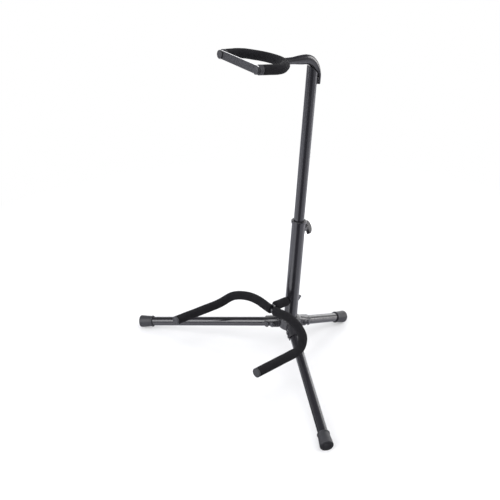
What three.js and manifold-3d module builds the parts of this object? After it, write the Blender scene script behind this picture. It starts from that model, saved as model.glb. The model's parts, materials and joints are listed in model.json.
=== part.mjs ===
// Tubular guitar stand: three folding legs, a telescopic mast, a padded cradle and a padded neck yoke.
// Millimetres, +Z up, the guitar faces -Y. The legs and the mast meet at the hub point; the finished
// stand is moved so that its origin is the middle of its box at floor level.
import * as THREE from "three";
import { mergeVertices } from "three/addons/utils/BufferGeometryUtils.js";
import Module from "manifold-3d";

const wasm = await Module();
wasm.setup();

// Shares, counts and angles. These aren't lengths.
const fullTurn = 2 * Math.PI;
const halfTurn = Math.PI;
const quarterTurn = Math.PI / 2;
const degrees = Math.PI / 180;
const half = 0.5;
const roundSides = 24;
const smallSides = 12;
const hexSides = 6;
const foamSides = 16;
const foamBoreSides = 10;
const rodSides = 12;
const arcStep = 12.5 * degrees;

// Clearances shared by every piece.
const seatGap = 0.3;
const cutOverrun = 2;

// Mast: a lower tube that leans back, and an upper tube that slides in it.
// Heights are measured up the mast's axis from the hub point.
const mastTilt = 4.61 * degrees;
const lowerRadius = 13.5;
const lowerWall = 1.5;
const lowerTop = 241;
const lowerLip = 1;
const upperRadius = 10;
const upperWall = 1.2;
const upperLength = 484;
const glideRest = 17.1;
const collarWidth = 2.1;
const collarHeight = 6.5;
const collarRound = 1.2;
const bushLength = 34;
const bushDepth = 3.5;
const glideFlange = 7;
const glideShank = 18;
const footPlugFlange = 2.5;
const footPlugDepth = 14;
const plugRound = 0.8;

// Clamp that locks the upper tube.
const clampDrop = 22;
const screwRadius = 3;
const bossAcross = 14;
const bossStand = 6.5;
const knobLength = 30;
const knobCrown = 12;
const knobLip = 1.5;
const knobThickness = 9;
const knobBevel = 1.1;
const knobHubRadius = 6.5;
const knobHubHeight = 3.4;
const knobSink = 8;
const knobTurn = 32 * degrees;

// Hub ring and leg brackets.
const hubRadius = 20.3;
const hubHalfHeight = 12;
const hubRound = 2.5;
const sheet = 1.6;
const bracketPastStop = 11;
const bracketDrop = 7.5;
const bracketRise = 3.4;
const bracketBend = 5;
const bracketCorner = 4;

// Legs. The lengths run from the hub point to the flat end of each foot.
const legRadius = 9.525;
const legWall = 1.2;
const frontLegLength = 355.8;
const rearLegLength = 183.6;
const frontLegTurn = 57.6 * degrees;
const frontLegSlope = 9.6 * degrees;
const pivotClear = 5.9;
const stopFromPivot = 15;
const pivotRadius = 3;
const stopRadius = 2.4;
const headRadius = 4.7;
const headHeight = 2.6;
const headRound = 1.1;
const headSocketRadius = 2.2;
const headSocketDepth = 1.4;
const nutAcross = 10;
const nutHeight = 4.6;
const threadTip = 1.6;

// Rubber feet.
const footLength = 31;
const footEndRadius = 13.5;
const footNeckRadius = 11.8;
const footRimRadius = 12.7;
const footRimLength = 3;
const footEdge = 1.4;
const footFloor = 5;
const footRecessRadius = 8.5;
const footRecessWidth = 2.2;
const footRecessDepth = 1.1;
const footFlat = 0.8;

// Cradle: a bent rod on a stem that is bolted through the mast. Its corners are measured from the
// rod's middle, which hangs a little below the stem's end.
const rodRadius = 5;
const foamRadius = 9;
const foamGap = 0.3;
const cradleShoulder = [85, -5, 9.5];
const cradleElbow = [124.5, -25.5, -24];
const cradleTip = [127, -160, -19.9];
const cradleRodDrop = 6.6;
const cradleMiddleBend = 130;
const cradleShoulderBend = 60;
const cradleElbowBend = 38;
const cradleBareHalf = 13;
const stemHeight = 54.6;
const stemReach = 57.5;
const stemRadius = 5;
const stemFoamRadius = 8.2;
const stemFoamInset = 1.6;
const stemFoamBare = 6.4;
const stemThreadDepth = 20;
const studRadius = 3;
const studEnd = 7.2;
const washerRadius = 7.5;
const washerThickness = 1.6;
const capLength = 4;
const capSocketDepth = 2.6;
const capEdge = 0.8;

// Yoke: a bent rod on a hooked post that is welded to the back of the upper tube. Its corners are
// [out from the middle, forward from the mast's axis, up from the post's top stretch].
const yokeTurn = -8.7 * degrees;
const yokeTip = [63.5, -166.8, 8];
const yokeCorner = [66, -121.5, 5.6];
const yokeMiddle = [0, -56.5, 0.2];
const yokeMiddleBend = 61.6;
const yokeCornerBend = 37;
const yokeFoamShort = 4;
const postRadius = 7;
const postWall = 1.2;
const postBend = 36;
const postFlatHalf = 4.5;
const postFlatWide = 8;
const postLap = 38;
const postRise = 14.5;
const postWeldGap = 0.45;
const postFlattenTurn = 34 * degrees;
const copeGap = 0.4;
const topPlugLength = 26;
const topPlugInset = 1;

// Neck strap on two pegs in the yoke's end caps.
const yokeCapLength = 8;
const pegRadius = 2.8;
const pegSink = 4.4;
const pegGap = 1.6;
const pegHeadRadius = 8.3;
const pegHeadHeight = 3;
const strapThickness = 3.2;
const strapHalfWidth = 8;
const strapHoleGap = 0.4;

// Places that follow from the sizes above.
const lowerBottom = -hubHalfHeight - lowerLip;
const clampHeight = lowerTop - clampDrop;
const bossReach = lowerRadius + bossStand;
const upperBottom = stemHeight + studRadius + glideRest + glideFlange + seatGap;
const upperTop = upperBottom + upperLength;
const postBottom = upperTop - postLap;
const postTopHeight = upperTop + postRise;
const pivotDistance = hubRadius + seatGap + legRadius + pivotClear;
const stopDistance = pivotDistance + stopFromPivot;
const bracketReach = stopDistance + bracketPastStop;
const stemFoamLength = stemReach - lowerRadius - stemFoamInset - foamRadius - stemFoamBare;

// Colours, roughness and metalness.
const finishes = {
  tube: { color: 0x46454d, roughness: 0.34, metalness: 0.55 },
  bracket: { color: 0x3c3b42, roughness: 0.4, metalness: 0.5 },
  foam: { color: 0x1c1b1f, roughness: 0.97, metalness: 0 },
  rubber: { color: 0x4a494f, roughness: 0.8, metalness: 0 },
  strap: { color: 0x5d5c63, roughness: 0.66, metalness: 0 },
  plastic: { color: 0x2a292e, roughness: 0.5, metalness: 0 },
  cap: { color: 0x6e6d76, roughness: 0.55, metalness: 0 },
  steel: { color: 0x8b8a92, roughness: 0.35, metalness: 0.9 },
};

// One material for each mesh.
function finish(name) {
  return new THREE.MeshStandardMaterial(finishes[name]);
}

// A manifold solid from a closed three.js geometry.
function solidOf(geometry) {
  const bare = geometry.clone();
  bare.deleteAttribute("normal");
  bare.deleteAttribute("uv");
  const merged = mergeVertices(bare);
  const kept = [];
  const index = merged.index.array;
  for (let i = 0; i < index.length; i += 3) {
    const [a, b, c] = [index[i], index[i + 1], index[i + 2]];
    if (a !== b && b !== c && c !== a) {
      kept.push(a, b, c);
    }
  }
  const vertProperties = merged.attributes.position.array;
  return new wasm.Manifold(new wasm.Mesh({ numProp: 3, vertProperties, triVerts: new Uint32Array(kept) }));
}

// A three.js geometry from a manifold solid.
function geometryOf(solid) {
  const mesh = solid.getMesh();
  const geometry = new THREE.BufferGeometry();
  geometry.setAttribute("position", new THREE.BufferAttribute(new Float32Array(mesh.vertProperties), 3));
  geometry.setIndex(new THREE.BufferAttribute(new Uint32Array(mesh.triVerts), 1));
  const flat = geometry.toNonIndexed();
  flat.computeVertexNormals();
  return flat;
}

function joined(first, ...others) {
  return geometryOf(others.reduce((sum, g) => sum.add(solidOf(g)), solidOf(first)));
}

function cut(first, ...others) {
  return geometryOf(others.reduce((rest, g) => rest.subtract(solidOf(g)), solidOf(first)));
}

function common(first, second) {
  return geometryOf(solidOf(first).intersect(solidOf(second)));
}

// A turned solid about Z from [radius, height] points, listed outward along the bottom, then up.
function turned(points, sides = roundSides) {
  const profile = points.map(([r, z]) => new THREE.Vector2(r, z));
  return new THREE.LatheGeometry(profile, sides).rotateX(quarterTurn);
}

// A plain round bar along Z between two heights.
function bar(radius, from, to, sides = roundSides) {
  return new THREE.CylinderGeometry(radius, radius, to - from, sides)
    .rotateX(quarterTurn)
    .translate(0, 0, (from + to) * half);
}

// A ring or tube along Z.
function ring(outer, inner, from, to, sides = roundSides) {
  return turned([[inner, from], [outer, from], [outer, to], [inner, to], [inner, from]], sides);
}

// A ring whose two outer edges are rounded.
function roundedRing(outer, inner, from, to, edge, sides = roundSides) {
  const bottom = cornerArc(outer - edge, from + edge, edge, -quarterTurn, 0);
  const top = cornerArc(outer - edge, to - edge, edge, 0, quarterTurn);
  return turned([[inner, from], ...bottom, ...top, [inner, to], [inner, from]], sides);
}

// Points of a round corner in a profile.
function cornerArc(r, z, edge, from, to, steps = 2) {
  const points = [];
  for (let i = 0; i <= steps; i += 1) {
    const angle = from + ((to - from) * i) / steps;
    points.push([r + edge * Math.cos(angle), z + edge * Math.sin(angle)]);
  }
  return points;
}

// A box between two corners.
function block(x0, x1, y0, y1, z0, z1) {
  return new THREE.BoxGeometry(x1 - x0, y1 - y0, z1 - z0)
    .translate((x0 + x1) * half, (y0 + y1) * half, (z0 + z1) * half);
}

// A straight span of a bent rod.
class StraightSpan {
  constructor(from, to) {
    this.from = from;
    this.to = to;
    this.steps = 1;
  }
  point(t) {
    return this.from.clone().lerp(this.to, t);
  }
  tangent() {
    return this.to.clone().sub(this.from).normalize();
  }
}

// A round bend between two straight spans.
class BendSpan {
  constructor(corner, before, after, radius) {
    this.angle = before.angleTo(after);
    this.radius = radius;
    const setback = radius * Math.tan(this.angle * half);
    this.start = corner.clone().addScaledVector(before, -setback);
    this.end = corner.clone().addScaledVector(after, setback);
    this.before = before;
    this.inward = after.clone().addScaledVector(before, -Math.cos(this.angle)).normalize();
    this.centre = this.start.clone().addScaledVector(this.inward, radius);
    this.steps = Math.max(2, Math.round(this.angle / arcStep));
  }
  point(t) {
    const turn = this.angle * t;
    return this.centre.clone()
      .addScaledVector(this.inward, -this.radius * Math.cos(turn))
      .addScaledVector(this.before, this.radius * Math.sin(turn));
  }
  tangent(t) {
    const turn = this.angle * t;
    return this.before.clone().multiplyScalar(Math.cos(turn)).addScaledVector(this.inward, Math.sin(turn));
  }
}

// A bent rod's centre line: corners joined by straight spans, each corner rounded to its bend radius.
// Its stations fall where the rod bends, so a straight span costs one step.
class BentPath extends THREE.Curve {
  constructor(corners, bends) {
    super();
    this.spans = [];
    let from = corners[0];
    for (let i = 1; i < corners.length - 1; i += 1) {
      const before = corners[i].clone().sub(corners[i - 1]).normalize();
      const after = corners[i + 1].clone().sub(corners[i]).normalize();
      const bend = new BendSpan(corners[i], before, after, bends[i - 1]);
      this.spans.push(new StraightSpan(from, bend.start), bend);
      from = bend.end;
    }
    this.spans.push(new StraightSpan(from, corners[corners.length - 1]));
    this.stations = this.spans.reduce((sum, span) => sum + span.steps, 0);
  }
  locate(u) {
    let left = Math.min(Math.max(u, 0), 1) * this.stations;
    for (const span of this.spans) {
      if (left <= span.steps || span === this.spans[this.spans.length - 1]) {
        return [span, Math.min(left / span.steps, 1)];
      }
      left -= span.steps;
    }
    return [this.spans[0], 0];
  }
  getPoint(u) {
    const [span, t] = this.locate(u);
    return span.point(t);
  }
  getPointAt(u) {
    return this.getPoint(u);
  }
  getTangentAt(u) {
    const [span, t] = this.locate(u);
    return span.tangent(t);
  }
}

// A round tube or rod along a bent path. A bore of zero makes it solid. getPoints gives two points a step.
function bentTube(path, outer, bore, sides, boreSides = sides) {
  const section = new THREE.Shape();
  section.absarc(0, 0, outer, 0, fullTurn);
  const outline = new THREE.Shape(section.getPoints(sides * half).slice(0, -1));
  if (bore > 0) {
    const hole = new THREE.Path();
    hole.absarc(0, 0, bore, 0, fullTurn);
    outline.holes.push(new THREE.Path(hole.getPoints(boreSides * half).slice(0, -1)));
  }
  return new THREE.ExtrudeGeometry(outline, { steps: path.stations, bevelEnabled: false, extrudePath: path });
}

// The corners of a rod that is alike on both sides, from the -X tip to the +X tip. The arm is listed
// from beside the middle to the tip, and origin is what the corners are measured from.
function mirroredCorners(origin, middle, ...arm) {
  const mirrored = arm.map(([x, y, z]) => [-x, y, z]).reverse();
  return [...mirrored, middle, ...arm].map((p) => new THREE.Vector3(...p).add(origin));
}

// The same corners with both ends drawn back along the rod.
function shortened(corners, length) {
  const ends = corners.map((p) => p.clone());
  const last = ends.length - 1;
  ends[0].addScaledVector(ends[1].clone().sub(ends[0]).normalize(), length);
  ends[last].addScaledVector(ends[last - 1].clone().sub(ends[last]).normalize(), length);
  return ends;
}

const stand = new THREE.Group();
const mast = new THREE.Group();
const upper = new THREE.Group();
const clamp = new THREE.Group();
mast.rotation.x = -mastTilt;
upper.rotation.z = yokeTurn;
stand.add(mast);
mast.add(upper, clamp);

// Adds a named piece to a group.
function place(group, name, geometry, look) {
  const mesh = new THREE.Mesh(geometry, finish(look));
  mesh.name = name;
  group.add(mesh);
  return mesh;
}

// The lower tube, with holes for the cradle stud and the clamp screw.
function lowerTube() {
  const tube = ring(lowerRadius, lowerRadius - lowerWall, lowerBottom, lowerTop);
  const reach = lowerRadius + cutOverrun;
  const studHole = bar(studRadius + seatGap, -reach, reach, smallSides)
    .rotateX(-quarterTurn)
    .translate(0, 0, stemHeight);
  const screwHole = bar(screwRadius + seatGap, 0, reach, smallSides)
    .rotateX(-quarterTurn)
    .translate(0, 0, clampHeight);
  return cut(tube, studHole, screwHole);
}

// The rolled ring that stiffens the lower tube's mouth.
function collarRing() {
  const inner = lowerRadius + seatGap;
  const outer = lowerRadius + collarWidth;
  return roundedRing(outer, inner, lowerTop - collarHeight, lowerTop, collarRound);
}

// The plastic bush in the lower tube's mouth, holed for the clamp screw.
function guideBush() {
  const outer = lowerRadius - lowerWall - seatGap;
  const top = lowerTop - bushDepth;
  const bush = ring(outer, upperRadius + seatGap, top - bushLength, top);
  const screwHole = bar(screwRadius + seatGap, 0, outer + cutOverrun, smallSides)
    .rotateX(-quarterTurn)
    .translate(0, 0, clampHeight);
  return cut(bush, screwHole);
}

// The plug that closes the lower tube's bottom.
function mastFootPlug() {
  const shank = lowerRadius - lowerWall - seatGap;
  const bottom = lowerBottom - seatGap - footPlugFlange;
  const edge = cornerArc(lowerRadius - plugRound, bottom + plugRound, plugRound, -quarterTurn, 0);
  const flangeTop = lowerBottom - seatGap;
  return turned([
    [0, bottom],
    ...edge,
    [lowerRadius, flangeTop],
    [shank, flangeTop],
    [shank, flangeTop + footPlugDepth],
    [0, flangeTop + footPlugDepth],
  ]);
}

// The glide that carries the upper tube's foot inside the lower tube.
function upperGlidePlug() {
  const flange = lowerRadius - lowerWall - seatGap;
  const shank = upperRadius - upperWall - seatGap;
  const flangeTop = upperBottom - seatGap;
  const bottom = flangeTop - glideFlange;
  const edge = cornerArc(flange - plugRound, bottom + plugRound, plugRound, -quarterTurn, 0);
  return turned([
    [0, bottom],
    ...edge,
    [flange, flangeTop],
    [shank, flangeTop],
    [shank, flangeTop + glideShank],
    [0, flangeTop + glideShank],
  ], foamSides);
}

// The post's bend: its centre, seen from the side, and the round space inside it.
const postBack = upperRadius + postWeldGap + postFlatHalf;
const bendCentreY = postBack - postBend;
const bendCentreZ = postTopHeight - postBend;

// The space that the upper tube's coped top has to keep to, under the post's bend.
function copeSpace(radius) {
  const wide = upperRadius + cutOverrun;
  const round = bar(radius, -wide, wide, roundSides * 2)
    .rotateY(quarterTurn)
    .translate(0, bendCentreY, bendCentreZ);
  const below = block(-wide, wide, -wide, wide, 0, bendCentreZ);
  return joined(round, below);
}

// The upper tube, coped at the top to nest under the post's bend.
function upperTube() {
  const tube = ring(upperRadius, upperRadius - upperWall, upperBottom, upperTop);
  return common(tube, copeSpace(postBend - postRadius - copeGap));
}

// The dark plug just inside the coped top.
function mastTopPlug() {
  const radius = upperRadius - upperWall - seatGap;
  const plug = bar(radius, upperTop - topPlugInset - topPlugLength, upperTop - topPlugInset);
  return common(plug, copeSpace(postBend - postRadius - copeGap - topPlugInset));
}

// Presses a bent tube flat along its last stretch, as the weld end of the post is.
function pressFlat(geometry, radius, flatHalf) {
  const position = geometry.attributes.position;
  const widen = postFlatWide / postRadius;
  for (let i = 0; i < position.count; i += 1) {
    const y = position.getY(i) - bendCentreY;
    const z = position.getZ(i) - bendCentreZ;
    const turn = Math.atan2(Math.max(z, 0), y);
    const share = y > 0 ? 1 - THREE.MathUtils.smoothstep(turn, 0, postFlattenTurn) : 0;
    const reach = z > 0 ? Math.hypot(y, z) : y;
    const limit = THREE.MathUtils.lerp(radius, flatHalf, share);
    const offset = THREE.MathUtils.clamp(reach - postBend, -limit, limit);
    const scale = share > 0 ? (postBend + offset) / reach : 1;
    position.setX(i, position.getX(i) * THREE.MathUtils.lerp(1, widen, share));
    position.setY(i, bendCentreY + y * scale);
    position.setZ(i, bendCentreZ + (z > 0 ? z * scale : z));
  }
  return geometry;
}

// The hooked post: over the yoke rod's middle, round the bend and down the back of the upper tube.
function yokePost() {
  const front = yokeApexY() - rodRadius;
  const top = new THREE.Vector3(0, postBack, postTopHeight);
  const makeTube = (radius, flatHalf, extra) => {
    const start = new THREE.Vector3(0, front - extra, postTopHeight);
    const end = new THREE.Vector3(0, postBack, postBottom - extra);
    const path = new BentPath([start, top, end], [postBend]);
    return pressFlat(bentTube(path, radius, 0, foamSides + hexSides), radius, flatHalf);
  };
  const outside = makeTube(postRadius, postFlatHalf, 0);
  const inside = makeTube(postRadius - postWall, postFlatHalf - postWall, cutOverrun);
  const rodSpace = bentTube(yokePath(0), rodRadius + seatGap, 0, rodSides);
  const beyond = block(-postBend, postBend, front - postBend, yokeApexY(), bendCentreZ, postTopHeight + postBend);
  return cut(outside, inside, rodSpace, beyond);
}

function yokeCorners() {
  return mirroredCorners(new THREE.Vector3(0, 0, postTopHeight), yokeMiddle, yokeCorner, yokeTip);
}

function yokePath(drawnBack) {
  const bends = [yokeCornerBend, yokeMiddleBend, yokeCornerBend];
  return new BentPath(shortened(yokeCorners(), drawnBack), bends);
}

// Where the yoke rod's centre line crosses the middle.
function yokeApexY() {
  const path = yokePath(0);
  return path.getPoint(half).y;
}

// The foam sleeve of the yoke, with a hole at the back where the post comes in.
function yokeFoam() {
  const sleeve = bentTube(yokePath(yokeFoamShort), foamRadius, rodRadius + foamGap, foamSides, foamBoreSides);
  const postHole = bar(postRadius + seatGap, yokeApexY(), yokeApexY() + postBend, foamSides)
    .rotateX(-quarterTurn)
    .translate(0, 0, postTopHeight);
  return cut(sleeve, postHole);
}

// A sleeve's end cap along +Z: its skirt meets the foam at height 0 and takes the rod in a socket.
function endCap(length, pegHole) {
  const socket = rodRadius + seatGap;
  const socketDepth = capSocketDepth + seatGap;
  const edge = cornerArc(foamRadius - capEdge, length - capEdge, capEdge, 0, quarterTurn);
  const body = [[socket, 0], [foamRadius, 0], ...edge];
  if (pegHole > 0) {
    const seat = length - pegSink;
    return turned([...body, [pegHole, length], [pegHole, seat], [0, seat], [0, socketDepth],
      [socket, socketDepth], [socket, 0]], foamSides);
  }
  return turned([...body, [0, length], [0, socketDepth], [socket, socketDepth], [socket, 0]], foamSides);
}

// Puts an object at a point with its +Z along a direction.
function aim(object, point, direction) {
  object.position.copy(point);
  object.quaternion.setFromUnitVectors(new THREE.Vector3(0, 0, 1), direction.clone().normalize());
}

// One peg: a neck sunk in the cap and a round head that keeps the strap on.
function strapPeg() {
  const neckBottom = -pegSink + seatGap;
  const headBottom = pegGap + strapThickness + strapHoleGap;
  const headTop = headBottom + pegHeadHeight;
  const edge = cornerArc(pegHeadRadius - capEdge, headTop - capEdge, capEdge, 0, quarterTurn);
  return turned([
    [0, neckBottom],
    [pegRadius, neckBottom],
    [pegRadius, headBottom],
    [pegHeadRadius, headBottom],
    ...edge,
    [0, headTop],
  ], foamSides);
}

// The flat rubber strap: a hole round the near peg and an open hook over the far one.
function neckStrap(span) {
  const hole = pegRadius + strapHoleGap;
  const outline = new THREE.Shape();
  outline.absarc(0, 0, strapHalfWidth, -quarterTurn, quarterTurn);
  outline.absarc(-span, 0, strapHalfWidth, quarterTurn, halfTurn + quarterTurn);
  const nearHole = new THREE.Path();
  nearHole.absarc(0, 0, hole, 0, fullTurn);
  outline.holes.push(nearHole);
  const settings = { depth: strapThickness, bevelEnabled: false, curveSegments: smallSides };
  const band = new THREE.ExtrudeGeometry(outline, settings);
  const farEye = bar(hole, -cutOverrun, strapThickness + cutOverrun, smallSides).translate(-span, 0, 0);
  const mouth = block(
    -span - hole, -span + hole,
    -strapHalfWidth - cutOverrun, 0,
    -cutOverrun, strapThickness + cutOverrun,
  );
  return cut(band, farEye, mouth);
}

// The hexagonal boss on the back of the lower tube, tapped for the clamp screw.
function clampBoss() {
  const corner = (bossAcross * half) / Math.cos(halfTurn / hexSides);
  const hex = bar(corner, 0, bossReach, hexSides).rotateX(-quarterTurn);
  const bore = bar(screwRadius + seatGap, 0, bossReach + cutOverrun, smallSides).rotateX(-quarterTurn);
  const tube = bar(lowerRadius + seatGap, -bossAcross, bossAcross);
  return cut(hex, bore, tube);
}

// The half-moon wing knob with its small hub, seen with the screw along +Y.
function wingKnob() {
  const reach = knobLength * half;
  const outline = new THREE.Shape();
  outline.moveTo(-reach + knobBevel, 0);
  outline.lineTo(reach - knobBevel, 0);
  outline.lineTo(reach - knobBevel, knobLip);
  outline.absellipse(0, knobLip, reach - knobBevel, knobCrown - knobLip, 0, halfTurn);
  outline.closePath();
  const plateDepth = knobThickness - 2 * knobBevel;
  const plate = new THREE.ExtrudeGeometry(outline, {
    depth: plateDepth,
    bevelThickness: knobBevel,
    bevelSize: knobBevel,
    bevelSegments: 2,
    curveSegments: smallSides,
  }).translate(0, knobBevel, -plateDepth * half);
  const hub = bar(knobHubRadius, -knobHubHeight, knobBevel * 2, smallSides).rotateX(-quarterTurn);
  const bore = bar(screwRadius + seatGap, -knobHubHeight - cutOverrun, knobSink, smallSides).rotateX(-quarterTurn);
  return cut(joined(plate, hub), bore);
}

// The ring round the lower tube that carries the three brackets.
function hubRing() {
  return roundedRing(hubRadius, lowerRadius + seatGap, -hubHalfHeight, hubHalfHeight, hubRound);
}

// A leg bracket in its leg's frame: X runs out along the leg, Z is up from it.
function legBracket(tiltAlong) {
  const inner = legRadius + seatGap;
  const outer = inner + sheet;
  const section = (width, top, bend) => {
    const shape = new THREE.Shape();
    shape.moveTo(-width, -bracketDrop);
    shape.lineTo(width, -bracketDrop);
    shape.lineTo(width, top - bend);
    shape.absarc(width - bend, top - bend, bend, 0, quarterTurn);
    shape.absarc(-width + bend, top - bend, bend, quarterTurn, halfTurn);
    shape.closePath();
    return shape;
  };
  const channel = (width, top, bend, extra) => {
    const settings = { depth: bracketReach + 2 * extra, bevelEnabled: false, curveSegments: 4 };
    const rise = new THREE.ExtrudeGeometry(section(width, top, bend), settings);
    // The extrusion's Z becomes the leg's X, its X becomes -Y and its Y becomes Z.
    rise.rotateX(quarterTurn).rotateZ(quarterTurn).translate(-extra, 0, 0);
    const position = rise.attributes.position;
    for (let i = 0; i < position.count; i += 1) {
      const share = 1 - Math.min(Math.max(position.getX(i), 0), bracketReach) / bracketReach;
      if (position.getZ(i) > 0) {
        position.setZ(i, position.getZ(i) + bracketRise * share);
      }
    }
    return rise;
  };
  const outside = channel(outer, outer, bracketBend, 0);
  const hollow = channel(inner, inner, bracketBend - sheet, cutOverrun);
  const under = block(-cutOverrun, bracketReach + cutOverrun, -inner, inner, -bracketDrop - cutOverrun, 0);
  const reach = outer + cutOverrun;
  const pivotHole = bar(pivotRadius + seatGap, -reach, reach, smallSides)
    .rotateX(quarterTurn)
    .translate(pivotDistance, 0, 0);
  const ringSpace = bar(hubRadius + seatGap, -hubRadius * 2, hubRadius * 2).applyMatrix4(tiltAlong);
  return cut(outside, hollow, under, pivotHole, stopNotch(reach), ringSpace, cornerTrim(reach));
}

// Takes the lower outer corner off both cheeks with a round.
function cornerTrim(reach) {
  const square = block(
    bracketReach - bracketCorner, bracketReach + cutOverrun,
    -reach, reach,
    -bracketDrop - cutOverrun, -bracketDrop + bracketCorner,
  );
  const round = bar(bracketCorner, -reach - cutOverrun, reach + cutOverrun, foamSides)
    .rotateX(quarterTurn)
    .translate(bracketReach - bracketCorner, 0, -bracketDrop + bracketCorner);
  return cut(square, round);
}

// The open-bottomed notch that the stop pin swings into, round the pivot.
function stopNotch(reach) {
  const arm = stopDistance - pivotDistance;
  const gap = stopRadius + seatGap;
  const swing = Math.asin((bracketDrop + cutOverrun * 2) / arm);
  const shape = new THREE.Shape();
  shape.absarc(0, 0, arm + gap, -swing, 0);
  shape.absarc(arm, 0, gap, 0, halfTurn);
  shape.absarc(0, 0, arm - gap, 0, -swing, true);
  shape.closePath();
  const settings = { depth: 2 * reach, bevelEnabled: false, curveSegments: smallSides * half };
  return new THREE.ExtrudeGeometry(shape, settings)
    .rotateX(quarterTurn)
    .translate(pivotDistance, reach, 0);
}

// A leg tube in its leg's frame, its inner end rounded about the pivot.
function legTube(length) {
  const end = length - footFloor - seatGap;
  const tube = ring(legRadius, legRadius - legWall, 0, end).rotateY(quarterTurn);
  const wide = legRadius + cutOverrun;
  const round = bar(legRadius, -wide, wide).rotateX(quarterTurn).translate(pivotDistance, 0, 0);
  const beyond = block(pivotDistance, end + cutOverrun, -wide, wide, -wide, wide);
  const pivotHole = bar(pivotRadius + seatGap, -wide, wide, smallSides)
    .rotateX(quarterTurn)
    .translate(pivotDistance, 0, 0);
  const stopHole = bar(stopRadius + seatGap, -wide, wide, smallSides)
    .rotateX(quarterTurn)
    .translate(stopDistance, 0, 0);
  return cut(common(tube, joined(round, beyond)), pivotHole, stopHole);
}

// The outer face of a bracket's cheek, from the leg's axis.
const cheekFace = legRadius + seatGap + sheet;

// The stop pin: a shaft through the leg with a head outside each cheek.
function stopPin() {
  const headIn = cheekFace + seatGap;
  const headOut = headIn + headHeight;
  const topEdge = cornerArc(headRadius - headRound, headOut - headRound, headRound, 0, quarterTurn);
  const bottomEdge = topEdge.map(([r, z]) => [r, -z]).reverse();
  return turned([
    [0, -headOut],
    ...bottomEdge,
    [headRadius, -headIn],
    [stopRadius, -headIn],
    [stopRadius, headIn],
    [headRadius, headIn],
    ...topEdge,
    [0, headOut],
  ], smallSides).rotateX(quarterTurn);
}

// The pivot bolt, its socket head on the -Y cheek.
function pivotBolt() {
  const headIn = cheekFace + seatGap;
  const headOut = headIn + headHeight;
  const tip = cheekFace + seatGap + nutHeight + threadTip;
  const edge = cornerArc(headRadius - headRound, headOut - headRound, headRound, 0, quarterTurn);
  return turned([
    [0, -tip],
    [pivotRadius, -tip],
    [pivotRadius, headIn],
    [headRadius, headIn],
    ...edge,
    [headSocketRadius, headOut],
    [headSocketRadius, headOut - headSocketDepth],
    [0, headOut - headSocketDepth],
  ], smallSides).rotateX(quarterTurn);
}

// A hexagonal nut along Z, standing on height 0.
function hexNut(across, height, bore) {
  const corner = (across * half) / Math.cos(halfTurn / hexSides);
  const body = common(bar(corner, 0, height, hexSides), turned([
    [0, 0],
    [across * half, 0],
    [corner, height * half * half],
    [corner, height - height * half * half],
    [across * half, height],
    [0, height],
  ], smallSides));
  return cut(body, bar(bore, -cutOverrun, height + cutOverrun, smallSides));
}

// A rubber foot in its leg's frame, cut flat where it meets the floor.
function foot(length, slope, floorDrop) {
  const bore = legRadius + seatGap;
  const edge = cornerArc(footEndRadius - footEdge, length - footEdge, footEdge, 0, quarterTurn);
  const mouth = length - footLength;
  const rim = mouth + footRimLength;
  const recessOuter = footRecessRadius;
  const recessInner = footRecessRadius - footRecessWidth;
  const body = turned([
    [bore, mouth],
    [footRimRadius - footEdge * half, mouth],
    [footRimRadius, mouth + footEdge * half],
    [footRimRadius, rim - footEdge * half],
    [footNeckRadius, rim + footEdge * half],
    ...edge,
    [recessOuter, length],
    [recessOuter, length - footRecessDepth],
    [recessInner, length - footRecessDepth],
    [recessInner, length],
    [0, length],
    [0, length - footFloor],
    [bore, length - footFloor],
    [bore, mouth],
  ]).rotateY(quarterTurn);
  const wide = footEndRadius * 2;
  const floor = block(0, length * 2, -wide, wide, -length, -floorDrop)
    .applyMatrix4(new THREE.Matrix4().makeRotationY(-slope));
  return cut(body, floor);
}

// How far a leg's foot reaches below the hub point at a slope.
function reachDown(length, slope) {
  const along = (length - footEdge) * Math.sin(slope);
  return along + (footEndRadius - footEdge) * Math.cos(slope) + footEdge;
}

// The rear leg's slope puts its foot on the same floor as the front feet.
const lowestFoot = reachDown(frontLegLength, frontLegSlope);
const rearArm = rearLegLength - footEdge;
const rearEnd = footEndRadius - footEdge;
const rearLegSlope = Math.asin((lowestFoot - footEdge) / Math.hypot(rearArm, rearEnd)) - Math.atan2(rearEnd, rearArm);
const floorDrop = lowestFoot - footFlat;

// A leg with its bracket, bolt, nut, stop pin and foot. Its heading turns -Y about the upright.
function addLeg(side, heading, length, slope) {
  const leg = new THREE.Group();
  const plan = new THREE.Matrix4().makeRotationZ(heading - quarterTurn);
  const dip = new THREE.Matrix4().makeRotationY(slope);
  const toStand = plan.multiply(dip);
  leg.quaternion.setFromRotationMatrix(toStand);
  const mastLean = new THREE.Matrix4().makeRotationX(-mastTilt);
  const mastInLeg = toStand.clone().invert().multiply(mastLean);
  place(leg, "leg_bracket_" + side, legBracket(mastInLeg), "bracket");
  place(leg, "leg_tube_" + side, legTube(length), "tube");
  place(leg, "leg_stop_pin_" + side, stopPin(), "steel").position.x = stopDistance;
  place(leg, "leg_pivot_bolt_" + side, pivotBolt(), "steel").position.x = pivotDistance;
  const nut = place(leg, "leg_pivot_nut_" + side, hexNut(nutAcross, nutHeight, pivotRadius + seatGap), "steel");
  nut.rotation.x = -quarterTurn;
  nut.position.set(pivotDistance, cheekFace + seatGap, 0);
  place(leg, "foot_" + side, foot(length, slope, floorDrop), "rubber");
  stand.add(leg);
}

// The cradle rod's middle, at the stem's front end.
function cradleMiddle() {
  const stemEnd = new THREE.Vector3(0, -stemReach, stemHeight);
  const point = stemEnd.applyMatrix4(new THREE.Matrix4().makeRotationX(-mastTilt));
  point.z -= cradleRodDrop;
  return point;
}

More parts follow.
